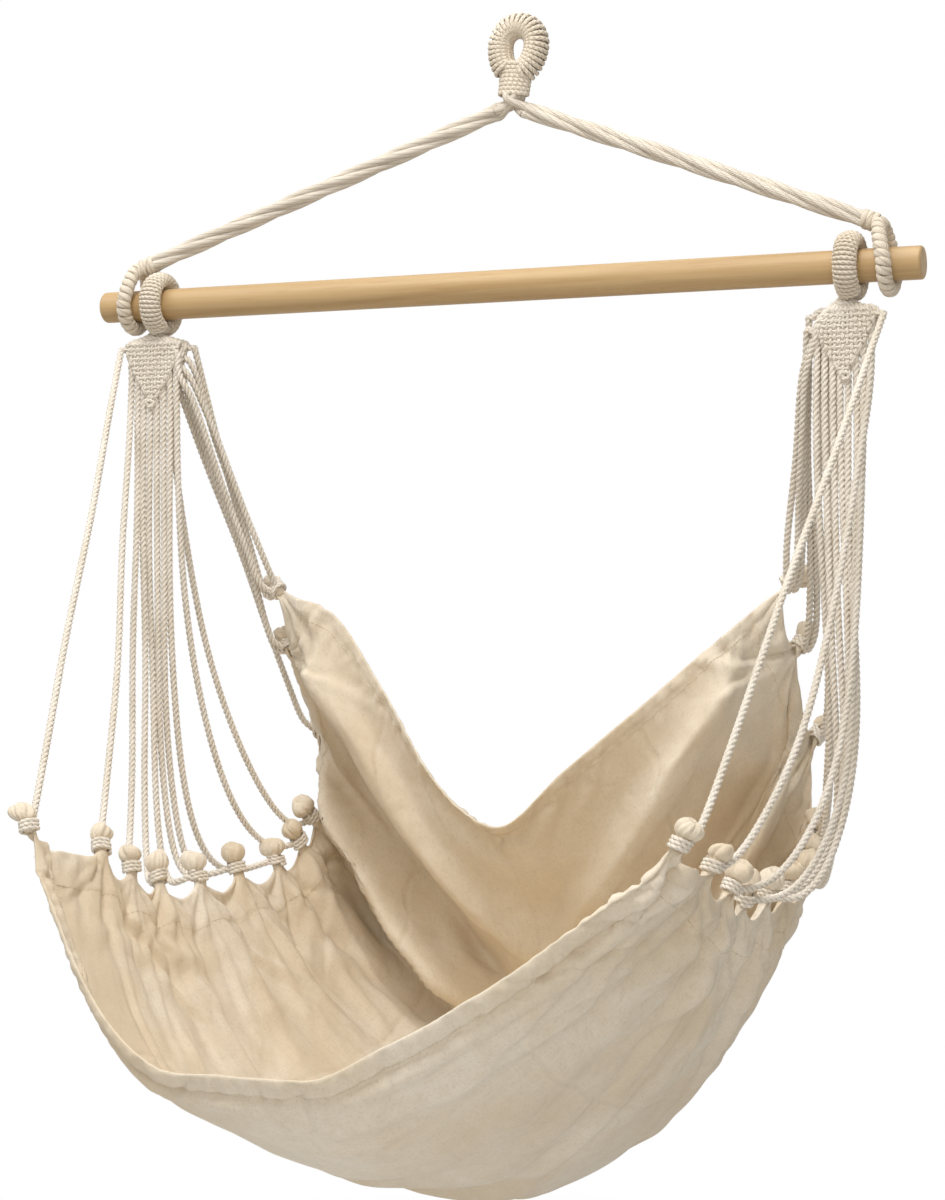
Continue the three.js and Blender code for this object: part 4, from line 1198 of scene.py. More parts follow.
def smooth_at(values, share):
    """Catmull-Rom value at a share of the way along a row of values."""
    values = np.asarray(values, float)
    spans = len(values) - 1
    place = min(max(share, 0), 1) * spans
    i = min(int(place), spans - 1)
    first = values[i - 1] if i > 0 else 2 * values[0] - values[1]
    last = values[i + 2] if i + 2 <= spans else 2 * values[spans] - values[spans - 1]
    return catmull(first, values[i], values[i + 1], last, place - i)


TIES = np.array(TIE_PLACE_SHARES) * [SEAT_HALF_WIDTH, SEAT_REACH, SEAT_DROP]
MIDLINE = np.array(MIDLINE_SHARES) * [SEAT_REACH, SEAT_DROP]
TIE_SPANS = np.linalg.norm(np.diff(TIES, axis=0), axis=1) + GATHER_SLACK
CLOTH_LENGTH = TIE_SPANS.sum()
TIE_SHARES = np.concatenate([[0], np.cumsum(TIE_SPANS)]) / CLOTH_LENGTH
TIE_NUMBERS = np.arange(len(TIES))


def climb(along, out, column):
    """Share of its climb that a row has made at these shares of the way out."""
    rows = np.array(CLIMB_SHARES[column])
    inner = [np.interp(along, CLIMB_ALONG, rows[:, i]) for i in range(3)]
    values = np.array([0, *inner, 1])
    ends = np.array([values[1], *values, 2 * values[-1] - values[-2]])
    place = np.clip(out, 0, 1) * 4
    i = np.minimum(place.astype(int), 3)
    return catmull(ends[i], ends[i + 1], ends[i + 2], ends[i + 3], place - i)


def edge_point(along, side):
    """Bar-centred point of the cloth's edge."""
    number = np.interp(along, TIE_SHARES, TIE_NUMBERS)
    out, back, up = (np.interp(along, TIE_SHARES, TIES[:, i]) for i in range(3))
    depth = SCALLOP_DEPTH * (FIRST_SCALLOP_SHARE if number < 1 else 1)
    return np.array([side * out, back, up - depth * math.sin(math.pi * number) ** 2])


def cloth_row(along, shares, folds=MODEL_FOLDS):
    """Bar-centred points of one row of cloth at these shares of its length from the left edge,
    the row's length and the folds' height at the points."""
    out, back, up = edge_point(along, 1)
    middle_back = smooth_at(MIDLINE[:, 0], along)
    middle_up = smooth_at(MIDLINE[:, 1], along)
    reach = np.sin(np.linspace(-1, 1, REACH_STEPS) * math.pi / 2)
    share = np.abs(reach)
    fold = np.zeros_like(reach)
    for tie, end_out, end_along, height, front_width, back_width in folds:
        start = np.interp(tie, TIE_NUMBERS, TIE_SHARES)
        run = (1 - share) / (1 - end_out)
        ahead = (along - start - run * (end_along - start)) * CLOTH_LENGTH
        off = ahead / np.where(ahead < 0, front_width, back_width)
        fades = smoothstep(run, 0, FOLD_START_SHARE) * (1 - smoothstep(run, FOLD_FADE_SHARE, FOLD_END_SHARE))
        fold += height * np.exp(-off * off) * fades
    rise = np.where(reach < 0, climb(along, share, "left"), climb(along, share, "right"))
    line = np.stack([
        out * reach,
        middle_back + (back - middle_back) * climb(along, share, "back") - fold,
        middle_up + (up - middle_up) * rise + FOLD_LIFT_SHARE * fold,
    ], 1)
    lengths = path_lengths(line)
    places = np.asarray(shares) * lengths[-1]
    points = np.stack([np.interp(places, lengths, line[:, i]) for i in range(3)], 1)
    return points, lengths[-1], np.interp(places, lengths, fold)


def leaning_share(share, out):
    grown = smoothstep(share, LEAN_START_SHARE, LEAN_FULL_SHARE)
    faded = smoothstep(share, LEAN_FADE_SHARE, 1)
    return share - ROW_LEAN_SHARE * grown * (1 - faded) * (1 - out)


def tie_frame(index, side, exit_point):
    """Bar-centred foot of a knob, the way it points and the way its rope leaves."""
    along = TIE_SHARES[index]
    edge = edge_point(along, side)
    cells = 3 / CELLS_ACROSS
    place = cells if side < 0 else 1 - cells
    inner = cloth_row(leaning_share(along, 1 - 2 * cells), [place])[0][0]
    before = after = along
    if index > 0:
        before -= (along - TIE_SHARES[index - 1]) / CLOTH_CELLS[index - 1]
    if index < len(TIES) - 1:
        after += (TIE_SHARES[index + 1] - along) / CLOTH_CELLS[index]
    edge_way = unit(edge_point(after, side) - edge_point(before, side))
    axis = unit(edge - inner) + np.array([0, 0, KNOB_UPRIGHT_SHARE])
    axis = unit(axis - edge_way * (axis @ edge_way) * KNOB_SQUARE_SHARE)
    pull = unit(exit_point - edge)
    away = np.array([pull[0] + side * LASHING_OUT_SHARE, pull[1], 0])
    away = unit(away - axis * (away @ axis))
    return edge - axis * CLOTH_THICKNESS, axis, away, unit(inner - edge)


def turned_about(vector, axis, angle):
    return (vector * math.cos(angle) + np.cross(axis, vector) * math.sin(angle)
            + axis * (axis @ vector) * (1 - math.cos(angle)))


LASHING_BASE = KNOB_NECK_LENGTH - LASHING_LENGTH - GAP
LASHING_FLAT = LASHING_DIAMETER / 2 * math.cos(math.pi / LASHING_FACES)


def rope_path(exit_point, way, knob, turn, slack, dip):
    """Bar-centred route of a rope from the clew to its lashing."""
    base, axis, away, _ = knob
    away = turned_about(away, axis, turn)
    middle = base + axis * (LASHING_BASE + LASHING_LENGTH / 2)
    end = middle + away * (LASHING_FLAT - ROPE_SINK)
    first = exit_point + way * (GAP + ROPE_DIAMETER)
    last = middle + away * (LASHING_FLAT + ROPE_RUN)
    angles = np.linspace(0, math.pi / 2, ROPE_HANG_POINTS)[1:-1]
    level = 1 - np.cos(angles) ** (2 / slack)
    drop = np.sin(angles) ** (2 / slack)
    hang = first + (last - first) * np.stack([level, level, drop], 1)
    hang[:, 2] -= ROPE_DIP * dip * 4 * level * (1 - level)
    return np.concatenate([[first], hang, [last, end]])


def clew_line(group, leave, x, side_name, side):
    """Bar-centred line of a rope inside the clew, from its top down to where it leaves."""
    out = (leave[0] - x) * side
    row = leave[1]
    drop = -CLEW_DROP - leave[2]
    out_share, row_share = CLEW_ROPE_TOP_SHARES
    points = [[x + side * out * out_share, row * row_share, -CLEW_DROP + CLEW_ROPE_TOP]]
    for share in CLEW_ROPE_STOP_SHARES:
        wide = shoulder_share(drop * share, side_name, out)
        points.append([x + side * out * wide * CLEW_ROPE_WIDTH_SHARE, row, -CLEW_DROP - drop * share])
    if group in ("outer_side", "inner_side"):
        points[-1:] = [[x + side * out * share, row, leave[2] + rise]
                       for share, rise in zip(CLEW_TURN_SHARES, CLEW_TURN_RISES)]
    else:
        points.append([x + side * out, row, leave[2] + CLEW_FOOT_RISE])
    return np.array(points)


def relaxed(line, start, rounds):
    """Line with its corners eased, but for its first stretch of this length and its end."""
    line = line.copy()
    first = int(start / ROPE_STEP)
    for _ in range(rounds):
        bent = line[first - 1:-4] - 2 * line[first:-3] + line[first + 1:-2]
        line[first:-3] += EASING_SHARE * bent
    return line


def make_ropes(side_name, side, x, rope_material):
    """Sixteen ropes of one side. Returns the frames of the knobs."""
    exits = [clew_exit(group, place, x, side) for group, place, *_ in ROPES]
    knobs = []
    for index in range(len(TIES)):
        users = [exits[i][0] for i, rope in enumerate(ROPES) if rope[2] == index]
        knobs.append(tie_frame(index, side, np.mean(users, axis=0)))
    for i, (group, _, tie, face, slack, dip) in enumerate(ROPES):
        turn = -side * face * TURN / LASHING_FACES
        leave, way = exits[i]
        route = rope_path(leave, way, knobs[tie], turn, slack, dip)
        if group in ("outer_side", "inner_side"):
            route = route[1:]
        line = smooth_path(np.concatenate([clew_line(group, leave, x, side_name, side), route]), ROPE_STEP)
        wander = np.sin(np.linspace(0, math.pi, len(line)))[:, None] ** 2
        waves = np.linspace(0, ROPE_HALF_WAVES * math.pi, len(line))[:, None] + random.uniform(0, TURN, 3)
        line = line + wander * np.sin(waves) * [ROPE_WANDER, ROPE_WANDER, 0]
        line = relaxed(line, ROPE_HELD_LENGTH, ROPE_EASINGS[side_name]) + BAR_CENTRE
        if group == "front_foot":
            bow = np.sin(np.linspace(0, 1, len(line)) ** 2 * math.pi)[:, None] ** 2
            line = line + bow * [side * ROPE_BOWS[side_name], 0, 0]
        shape = Shape()
        add_rope(shape, line)
        number = f"{i + 1:02d}"
        shape.piece(f"seat_rope_{side_name}_{number}", "seat", rope_material,
                    [f"rope_{side_name}_{number}"])
    return knobs


def shoulder_share(drop, side_name, out):
    """Share of the clew's full width that it has at this drop below its top."""
    inner, outer = CLEW_SHOULDERS[side_name]
    neck = HARNESS_NECK_WIDTH / CLEW_WIDTH
    shoulder = outer if out > 0 else inner
    return neck + (1 - neck) * float(smoothstep(drop, SHOULDER_START, shoulder))


def leaves_at(out, height):
    """How far below the clew's top a warp this far out leaves a face of this height."""
    return WEAVE_START + (height - WEAVE_START) * (1 - abs(out) / (CLEW_WIDTH / 2)) ** CLEW_FOOT_POWER


def weave_depth(face, drop, column, sign):
    """Place from front to back of a cord in the weave."""
    fade = float(smoothstep(drop, 0, WEAVE_START))
    phase = math.pi * ((drop - WEAVE_START) / WEFT_SPACING + column)
    top_share, growth_share = CLEW_DEPTH_SHARES
    return face * ((ROPE_ROW_OFFSET + CLEW_LIFT) * (top_share + growth_share * fade)
                   + sign * fade * WEAVE_DEPTH * math.cos(phase))


def make_clew(side_name, side, x, rope_material):
    """Cords plaited over and under each other: a triangle of plain weave in front and a
    shorter one behind, each with a cord across its shoulders and a ring at its foot."""
    shape = Shape()
    for face, height in ((-1, CLEW_HEIGHT + CLEW_FOOT_EXTRAS["front"]),
                         (1, CLEW_BACK_HEIGHT + CLEW_FOOT_EXTRAS["back"])):
        add_warps(shape, side_name, side, x, face, height)
        add_weft(shape, side_name, side, x, face, height)
        add_crossing(shape, side_name, side, x, face)
        add_ring(shape, side, x, face, height)
    shape.piece(f"woven_clew_{side_name}", "seat", rope_material, [f"clew_{side_name}"])


def add_warps(shape, side_name, side, x, face, height):
    for column in range(WARPS):
        out = (column - (WARPS - 1) / 2) * WARP_SPACING
        last = leaves_at(out, height) + WARP_TAIL
        points = [[x + side * out * WARP_TOP_SHARE, face * WARP_TOP_DEPTH, -CLEW_DROP + WARP_TOP_RISE]]
        for drop in np.arange(-1, last, WEFT_SPACING / 4):
            wide = shoulder_share(drop, side_name, out)
            points.append([x + side * out * wide, weave_depth(face, drop, column, 1), -CLEW_DROP - drop])
        points.append([points[-1][0], face * ROPE_ROW_OFFSET, -CLEW_DROP - last - WARP_END_DROP])
        add_rope(shape, smooth_path(np.array(points) + BAR_CENTRE, WARP_STEP), WARP_DIAMETER, CLEW_CORD_LAY)


def add_weft(shape, side_name, side, x, face, height):
    points = []
    for row in range(int((height - WEAVE_START) / WEFT_SPACING)):
        drop = WEAVE_START + row * WEFT_SPACING
        way = 1 if row % 2 else -1
        outs = [(c - (WARPS - 1) / 2) * WARP_SPACING for c in np.arange(-0.5, WARPS, WEFT_PLACE_STEP)]
        outs = [out for out in outs
                if leaves_at(min(abs(out), CLEW_WIDTH / 2), height) > drop - WEFT_EDGE]
        for out in outs[::way]:
            column = out / WARP_SPACING + (WARPS - 1) / 2
            wide = shoulder_share(drop, side_name, out)
            points.append([x + side * out * wide, weave_depth(face, drop, column, -1), -CLEW_DROP - drop])
    add_rope(shape, smooth_path(np.array(points) + BAR_CENTRE, WEFT_STEP), WEFT_DIAMETER, CLEW_CORD_LAY)


def add_crossing(shape, side_name, side, x, face):
    inner, outer = CLEW_SHOULDERS[side_name]
    depth = ROPE_ROW_OFFSET + CLEW_LIFT
    points = []
    for share in CROSSING_SHARES:
        out = share * CLEW_WIDTH / 2
        fall = (outer if out > 0 else inner) * abs(share) ** CROSSING_POWER
        points.append([x + side * out, face * (depth - CROSSING_SINK), -CLEW_DROP + CROSSING_RISE - fall])
    add_rope(shape, smooth_path(np.array(points) + BAR_CENTRE, ROPE_STEP), CROSSING_DIAMETER, CROSSING_LAY)


def add_ring(shape, side, x, face, height):
    depth = ROPE_ROW_OFFSET + CLEW_LIFT + RING_LIFT
    middle = np.array([x + side * RING_SHIFT, face * depth, -CLEW_DROP - height - RING_DROP]) + BAR_CENTRE
    angles = np.linspace(0, RING_TURNS * TURN, RING_POINTS)
    ring = np.stack([
        middle[0] + RING_HALF_WIDTH * np.cos(angles),
        middle[1] + face * RING_WEAVE * np.sin(angles * RING_WEAVE_TURNS),
        middle[2] + RING_HALF_HEIGHT * np.sin(angles) + angles * RING_CLIMB], 1)
    add_rope(shape, resample(ring, WARP_STEP), WEFT_DIAMETER, CLEW_CORD_LAY)


# Knobs
def knob_profile(tall, wide):
    """Heights over a knob's foot and radii, from inside its lashing to the dimple on its top,
    and the height of its middle."""
    ball = KNOB_BALL / 2 * wide
    rise = KNOB_BALL_HEIGHT / 2 * tall
    middle = KNOB_NECK_LENGTH + rise * KNOB_MIDDLE_SHARE
    profile = [(height, KNOB_NECK / 2 * share) for height, share in KNOB_NECK_PROFILE]
    for angle in np.linspace(*KNOB_ARC, KNOB_ARC_POINTS):
        profile.append((middle + rise * math.sin(angle), ball * math.cos(angle) ** KNOB_FULL_POWER))
    rim = profile[-1][1]
    for share in KNOB_DIMPLE_RINGS:
        sunk = KNOB_DIMPLE_SHARE * (1 - share ** 2)
        profile.append((middle + rise * (KNOB_RIM_SHARE - sunk), rim * share))
    return *np.array(profile).T, middle


def add_knob(shape, knob, tip_reach):
    """Bunch of pleated cloth, uneven and leaning; tip_reach is its set lean along x."""
    base, axis, away, _ = knob
    third = np.cross(axis, away)
    top = KNOB_NECK_LENGTH + KNOB_BALL_HEIGHT
    pleats = random.integers(*KNOB_PLEATS)
    phase = random.uniform(0, TURN, 5)
    tall, wide = random.uniform(*KNOB_TALL_SHARES), random.uniform(*KNOB_WIDE_SHARES)
    heights, radii, middle = knob_profile(tall, wide)
    angles = np.arange(KNOB_SIDES) * TURN / KNOB_SIDES
    share = np.clip((heights - KNOB_NECK_LENGTH) / (top - KNOB_NECK_LENGTH), 0, 1)[:, None]
    depth = np.interp(heights, [*KNOB_PLEAT_HEIGHTS, middle, top], KNOB_PLEAT_SHARES)
    turning = angles[None, :] + KNOB_TWIST * share * np.sign(phase[3] - 3)
    turning = turning + KNOB_UNEVEN_TURN * np.sin(2 * angles + phase[4])
    wave = np.abs(np.sin(pleats * turning / 2 + phase[0])) ** KNOB_PLEAT_POWER - KNOB_PLEAT_REST
    wave = wave + KNOB_FINE_PLEAT * np.cos((pleats * 2 + 1) * turning + phase[1]) * (1 - 0.5 * share)
    second, last = KNOB_LUMP_SHARES
    lump = 1 + share * (second * np.cos(2 * angles + phase[2]) + last * np.cos(3 * angles + phase[3]))
    rings = radii[:, None] * (lump + depth[:, None] * wave)
    tip = random.uniform(-KNOB_TIP, KNOB_TIP, 2) + tip_reach * np.array([away[0], third[0]])
    lean = np.interp(heights, [KNOB_NECK_LENGTH - KNOB_TIP_START, top], [0, 1])[:, None] * tip
    slope = share ** 2 * KNOB_SLOPE * np.cos(angles + phase[1])
    points = (base + (heights[:, None] + slope)[..., None] * axis
              + (rings * np.cos(angles) + lean[:, :1])[..., None] * away
              + (rings * np.sin(angles) + lean[:, 1:])[..., None] * third)
    around = np.broadcast_to(angles[None, :] * KNOB_MEAN_RADIUS * MM, rings.shape)
    up = np.broadcast_to(heights[:, None] * MM, rings.shape)
    places = grid_places(around, around + KNOB_MEAN_RADIUS * MM * TURN / KNOB_SIDES, up)
    shape.add_caps(shape.add_turned(points + BAR_CENTRE, places[:, BACKWARD])[::-1])


def add_lashing(shape, knob):
    """Turns of cord round a knob's neck."""
    base, axis, away, _ = knob
    third = np.cross(axis, away)
    run = np.linspace(0, 1, LASHING_TURNS * LASHING_TURN_POINTS)
    rise = LASHING_BASE - 1 + run * (LASHING_LENGTH + 1)
    angle = run * LASHING_TURNS * TURN + random.uniform(0, TURN)
    tilt = random.uniform(-LASHING_TILT, LASHING_TILT, 2)
    line = base + (rise + tilt[0] * np.cos(angle) + tilt[1] * np.sin(angle))[:, None] * axis
    reach = KNOB_NECK / 2 + LASHING_LIFT
    path = line + reach * (np.cos(angle)[:, None] * away + np.sin(angle)[:, None] * third)
    add_flat_cord(shape, path + BAR_CENTRE, line + BAR_CENTRE, LASHING_CORD, LASHING_THICKNESS, LASHING_LAY)


def make_knobs(side_name, side, knobs, cloth_material, cord_material):
    """Gathered cloth knobs of one side and the cord turns round their necks."""
    cloth = Shape()
    lashing = Shape()
    for index, knob in enumerate(knobs):
        add_knob(cloth, knob, CORNER_KNOB_TIPS[side_name] * side if index == 0 else 0)
        add_lashing(lashing, knob)
    knob_piece = cloth.piece(f"gathered_knobs_{side_name}", "seat", cloth_material)
    lashing.piece(f"knob_lashings_{side_name}", "seat", cord_material)
    return knob_piece


# Seat cloth
def graded(length, head, tail, fine=FINE_CELL, coarse=COARSE_CELL):
    """Shares of a length, closer together in its first and last bands."""
    inner = np.linspace(head, length - tail, round((length - head - tail) / coarse) + 1)
    ends = np.arange(0, head, fine), length - np.arange(0, tail, fine)[::-1]
    return np.concatenate([ends[0], inner, ends[1]]) / length


def place_in(values, grid_values):
    """Whole and broken part of the place of values in a rising row of grid values."""
    place = np.interp(values, grid_values, np.arange(len(grid_values)))
    whole = np.minimum(place.astype(int), len(grid_values) - 2)
    return whole, place - whole


def refined(grid, axis, old, new):
    """Grid of points at new places along one of its axes, through a smooth curve."""
    grid = np.moveaxis(grid, axis, 0)
    whole, part = place_in(new, old)
    last = len(old) - 1
    corners = [grid[np.clip(whole + step, 0, last)] for step in (-1, 0, 1, 2)]
    part = part.reshape(-1, *[1] * (grid.ndim - 1))
    return np.moveaxis(catmull(*corners, part), 0, axis)


def grid_normals(grid):
    normals = np.cross(np.gradient(grid, axis=1), np.gradient(grid, axis=0))
    return normals / np.maximum(np.linalg.norm(normals, axis=2), 1e-9)[..., None]


def hung_surface(alongs, shares):
    """Bar-centred grid of the hanging cloth with its long folds, and how far each point is
    from the nearer side edge."""
    rows = [cloth_row(along, shares, FOLDS) for along in alongs]
    grid = np.array([points for points, _, _ in rows])
    lengths = np.array([length for _, length, _ in rows])
    fold = np.array([heights for _, _, heights in rows])
    ahead = np.gradient(grid, axis=0)
    ahead /= np.maximum(np.linalg.norm(ahead, axis=2), 1e-9)[..., None]
    grid = grid - ahead * (FOLD_OVERHANG * np.maximum(fold, 0))[..., None]
    inward = np.minimum(shares, 1 - shares)[None, :] * lengths[:, None]
    numbers = np.interp(alongs, TIE_SHARES, TIE_NUMBERS)
    cell = lengths[:, None] / CELLS_ACROSS
    wave = (np.cos(TURN * numbers) - 1)[:, None]
    lift = GATHER_FOLD / 2 * wave * np.exp(-inward / GATHER_REACH) * np.minimum(inward / cell, 1)
    return grid + lift[..., None] * grid_normals(grid), inward


def simulated_shift(alongs, shares):
    """How far each point of a hung grid moves when the slack cloth settles, held at its edges."""
    start, _ = hung_surface(alongs, shares)
    rows, columns = start.shape[:2]
    index = np.arange(rows * columns).reshape(rows, columns)
    mesh = bpy.data.meshes.new("settling_cloth")
    mesh.from_pydata((start.reshape(-1, 3) * MM).tolist(), [], grid_quads(rows, columns).tolist())
    cloth = new_object("settling_cloth", mesh)
    held = cloth.vertex_groups.new(name="held")
    edge = np.concatenate([index[0], index[-1], index[1:-1, 0], index[1:-1, -1]])
    held.add(edge.tolist(), 1.0, "REPLACE")
    modifier = cloth.modifiers.new("settling", "CLOTH")
    for name, value in SETTLING.items():
        setattr(modifier.settings, name, value)
    modifier.settings.effector_weights.gravity = SETTLING_GRAVITY_SHARE
    modifier.point_cache.frame_start = 1
    modifier.point_cache.frame_end = SETTLING_FRAMES
    scene = bpy.context.scene
    for number in range(1, SETTLING_FRAMES + 1):
        scene.frame_set(number)
    settled = cloth.evaluated_get(bpy.context.evaluated_depsgraph_get())
    coordinates = np.empty(rows * columns * 3, np.float32)
    settled.data.vertices.foreach_get("co", coordinates)
    scene.frame_set(1)
    bpy.data.objects.remove(cloth)
    bpy.data.meshes.remove(mesh)
    shift = coordinates.astype(float).reshape(start.shape) / MM - start
    far = np.linalg.norm(shift, axis=2)[..., None]
    return shift * WRINKLE_LIMIT * np.tanh(far / WRINKLE_LIMIT) / np.maximum(far, 1e-6)


def waves_along(places, lengths):
    """Uneven waves from -1 to 1 along an edge."""
    total = 0
    for share, length in zip(WAVE_SHARES, lengths):
        total = total + share * np.sin(TURN * places / length + random.uniform(0, TURN))
    return total


def hump(value, half_width):
    """Smooth hump of height 1 over 0."""
    return np.exp(-(value / half_width) ** 2)


def hem_shape(distance, width, places, fullness):
    """Half the extra thickness of a stuffed, stitched band along an edge, and its puckers."""
    share = np.clip(distance / width, 0, 1)
    full = np.sqrt(np.clip(1 - (2 * share - 1) ** HEM_FULL_POWER, 0, 1))
    uneven = HEM_EVEN_SHARE + HEM_UNEVEN_SHARE * waves_along(places, HEM_WAVES)
    band = np.where(distance < width, fullness * full * uneven, 0)
    slant = places + PUCKER_SLANT * distance
    puckers = waves_along(slant, PUCKER_WAVES) * hump(distance - width, PUCKER_REACH) * PUCKER_HEIGHT
    return band - SEAM_DEPTH * hump(distance - width, SEAM_HALF_WIDTH), puckers


def crease(ahead, inward, lean, length, width, depth, bow):
    """Height of a crease that runs from a tie and dies out, with a lip along one side."""
    run = ahead * math.sin(lean) + inward * math.cos(lean)
    off = (ahead * math.cos(lean) - inward * math.sin(lean) + bow * run * run / length) / width
    lip_share, lip_place, lip_width = CREASE_LIP
    form = np.exp(-off * off) - lip_share * hump(off - lip_place, lip_width)
    return depth * form * smoothstep(run, *CREASE_START) * (
        1 - smoothstep(run, CREASE_FADE_SHARE * length, length))


def cloth_details(grid, inward, alongs, shares, knob_sets):
    """Creases and pleats from the ties, and the cloth drawn up into the knobs."""
    normals = grid_normals(grid)
    near_left = (shares < 0.5)[None, :]
    for side, knobs in knob_sets.items():
        near = near_left if side < 0 else ~near_left
        for index, (base, axis, _, inward_way) in enumerate(knobs):
            ahead = (alongs[:, None] - TIE_SHARES[index]) * CLOTH_LENGTH
            distance = np.hypot(ahead, inward)
            angle = np.arctan2(ahead, inward + 0.01)
            phase = random.uniform(0, TURN, 3)
            bent = angle + PLEAT_WANDER * np.sin(distance / PLEAT_WANDER_LENGTH + phase[2])
            first, second = PLEAT_COUNTS
            pleat = np.cos(first * bent + phase[0]) + PLEAT_SECOND_SHARE * np.cos(second * bent + phase[1])
            size = PLEAT_HEIGHT * np.exp(-distance / PLEAT_REACH) * (1 - np.exp(-distance / PLEAT_MIDDLE))
            change = size * pleat
            for _ in range(CREASES_A_TIE):
                lean = random.uniform(-CREASE_LEAN, CREASE_LEAN)
                length = random.uniform(*CREASE_LENGTHS)
                width = random.uniform(*CREASE_WIDTHS)
                depth = random.uniform(*CREASE_DEPTHS) * random.choice([-1, 1])
                bow = random.uniform(-CREASE_BOW, CREASE_BOW)
                change += crease(ahead, inward, lean, length, width, depth, bow)
            for crease_side, tie, *form in LONG_CREASES:
                if (crease_side, tie) == (side, index):
                    change += crease(ahead, inward, *form)
            grid = grid + (change * near)[..., None] * normals
            inner = unit(inward_way - axis * (inward_way @ axis))
            beside = np.cross(axis, inner)
            ends = TIES[min(index + 1, len(TIES) - 1)] - TIES[max(index - 1, 0)]
            beside = beside * np.sign(beside @ (ends * [side, 1, 1]))
            around = (np.cos(2 * angle)[..., None] * inner + np.sin(2 * angle)[..., None] * beside)
            target = (base + axis * (KNOB_NECK_LENGTH * DRAW_HEIGHT_SHARE)
                      + around * KNOB_NECK / 2 * DRAW_RADIUS_SHARE)
            draw = (hump(distance, DRAW_REACH) * near)[..., None]
            grid = grid + draw * (target - grid)
    return grid


def ripples(alongs, shares):
    """Heights of shallow waves, each in its own patch of the cloth."""
    v = (alongs * CLOTH_LENGTH)[:, None]
    u = (shares * FLAT_WIDTH)[None, :]
    height = np.zeros((len(alongs), len(shares)))
    for _ in range(RIPPLES):
        du = u - random.uniform(RIPPLE_MARGIN, FLAT_WIDTH - RIPPLE_MARGIN)
        dv = v - random.uniform(RIPPLE_FRONT_MARGIN, CLOTH_LENGTH - RIPPLE_MARGIN)
        heading = random.uniform(0, math.pi)
        run = du * math.cos(heading) + dv * math.sin(heading)
        off = dv * math.cos(heading) - du * math.sin(heading)
        reach, width = random.uniform(*RIPPLE_RUNS), random.uniform(*RIPPLE_WIDTHS)
        patch = np.exp(-(run / reach) ** 2 - (off / width) ** 2)
        wave = np.cos(TURN * run / random.uniform(*RIPPLE_WAVES) + random.uniform(0, TURN))
        height += random.uniform(*RIPPLE_HEIGHTS) * patch * wave
    return height


def hem_relief(alongs, shares, inward):
    """Half the thickness of the canvas with its hems and casings, and its height of bend."""
    from_front = (alongs * CLOTH_LENGTH)[:, None] + 0 * inward
    from_back = ((1 - alongs) * CLOTH_LENGTH)[:, None] + 0 * inward
    across = (shares * FLAT_WIDTH)[None, :] + 0 * inward
    near_tie = np.zeros_like(inward)
    for share in TIE_SHARES:
        off = ((alongs - share) * CLOTH_LENGTH)[:, None]
        near_tie += np.exp(-(off ** 2 + inward ** 2) / TIE_FLAT_REACH ** 2)
    loose = 1 - np.clip(near_tie, 0, 1)
    half = np.full_like(inward, PLY / 2)
    bend = np.zeros_like(inward)
    bands = (
        (from_front, FRONT_HEM, across, HEM_FULLNESS),
        (from_back, BACK_HEM, across, HEM_FULLNESS * BACK_HEM_SHARE),
        (inward, SIDE_CASING, from_front, HEM_FULLNESS * CASING_SHARE),
    )
    for distance, width, places, fullness in bands:
        band, puckers = hem_shape(distance, width, places, fullness)
        half = np.maximum(half, half + band * loose)
        on_seam = np.abs(distance - width) < SEAM_REACH
        half = np.where(on_seam, np.minimum(half, PLY * SEAM_PLY_SHARE), half)
        bend = bend + puckers * loose
    on_right = smoothstep(across, *(FLAT_WIDTH * share for share in HEM_RIGHT_SHARES))
    corner = np.exp(-inward / HEM_CORNER) * (HEM_LEFT_SHARE + (1 - HEM_LEFT_SHARE) * on_right)
    below = from_front - FRONT_HEM
    roll = hump(below - HEM_ROLL_PLACE, HEM_ROLL_REACH)
    roll = roll + SECOND_CREASE_SHARE * on_right * hump(below - SECOND_CREASE_PLACE, HEM_ROLL_REACH)
    swell = hump(below - HEM_SWELL_PLACE, HEM_SWELL_REACH)
    uneven = 1 + HEM_SWELL_UNEVEN_SHARE * waves_along(across, HEM_SWELL_WAVES)
    bend = bend + (HEM_ROLL * roll - HEM_SWELL * swell * uneven) * (1 + corner) * loose
    off = from_front - FRONT_HEM / 2
    bulge = np.clip(1 - (off / (FRONT_HEM / 2)) ** 2, 0, 1)
    slant = np.sign(across - FLAT_WIDTH / 2) * HEM_GATHER_SLANT * from_front
    gathers = waves_along(across - slant, HEM_GATHER_WAVES)
    half = half + corner * loose * bulge * HEM_CORNER_FULLNESS
    bend = bend + corner * loose * gathers * HEM_GATHERS * hump(off, HEM_GATHER_REACH)
    return half, bend


def closed_sheet(rows, columns):
    """Faces of a sheet of two grids of points with a band round its edge."""
    index = np.arange(rows * columns).reshape(rows, columns)
    faces = grid_quads(rows, columns)
    rim = np.concatenate([index[0], index[1:, -1], index[-1, -2::-1], index[-2:0:-1, 0]])
    after = np.roll(rim, -1)
    under = rows * columns
    sides = np.stack([rim, rim + under, after + under, after], -1)
    return np.concatenate([faces, faces[:, ::-1] + under, sides])


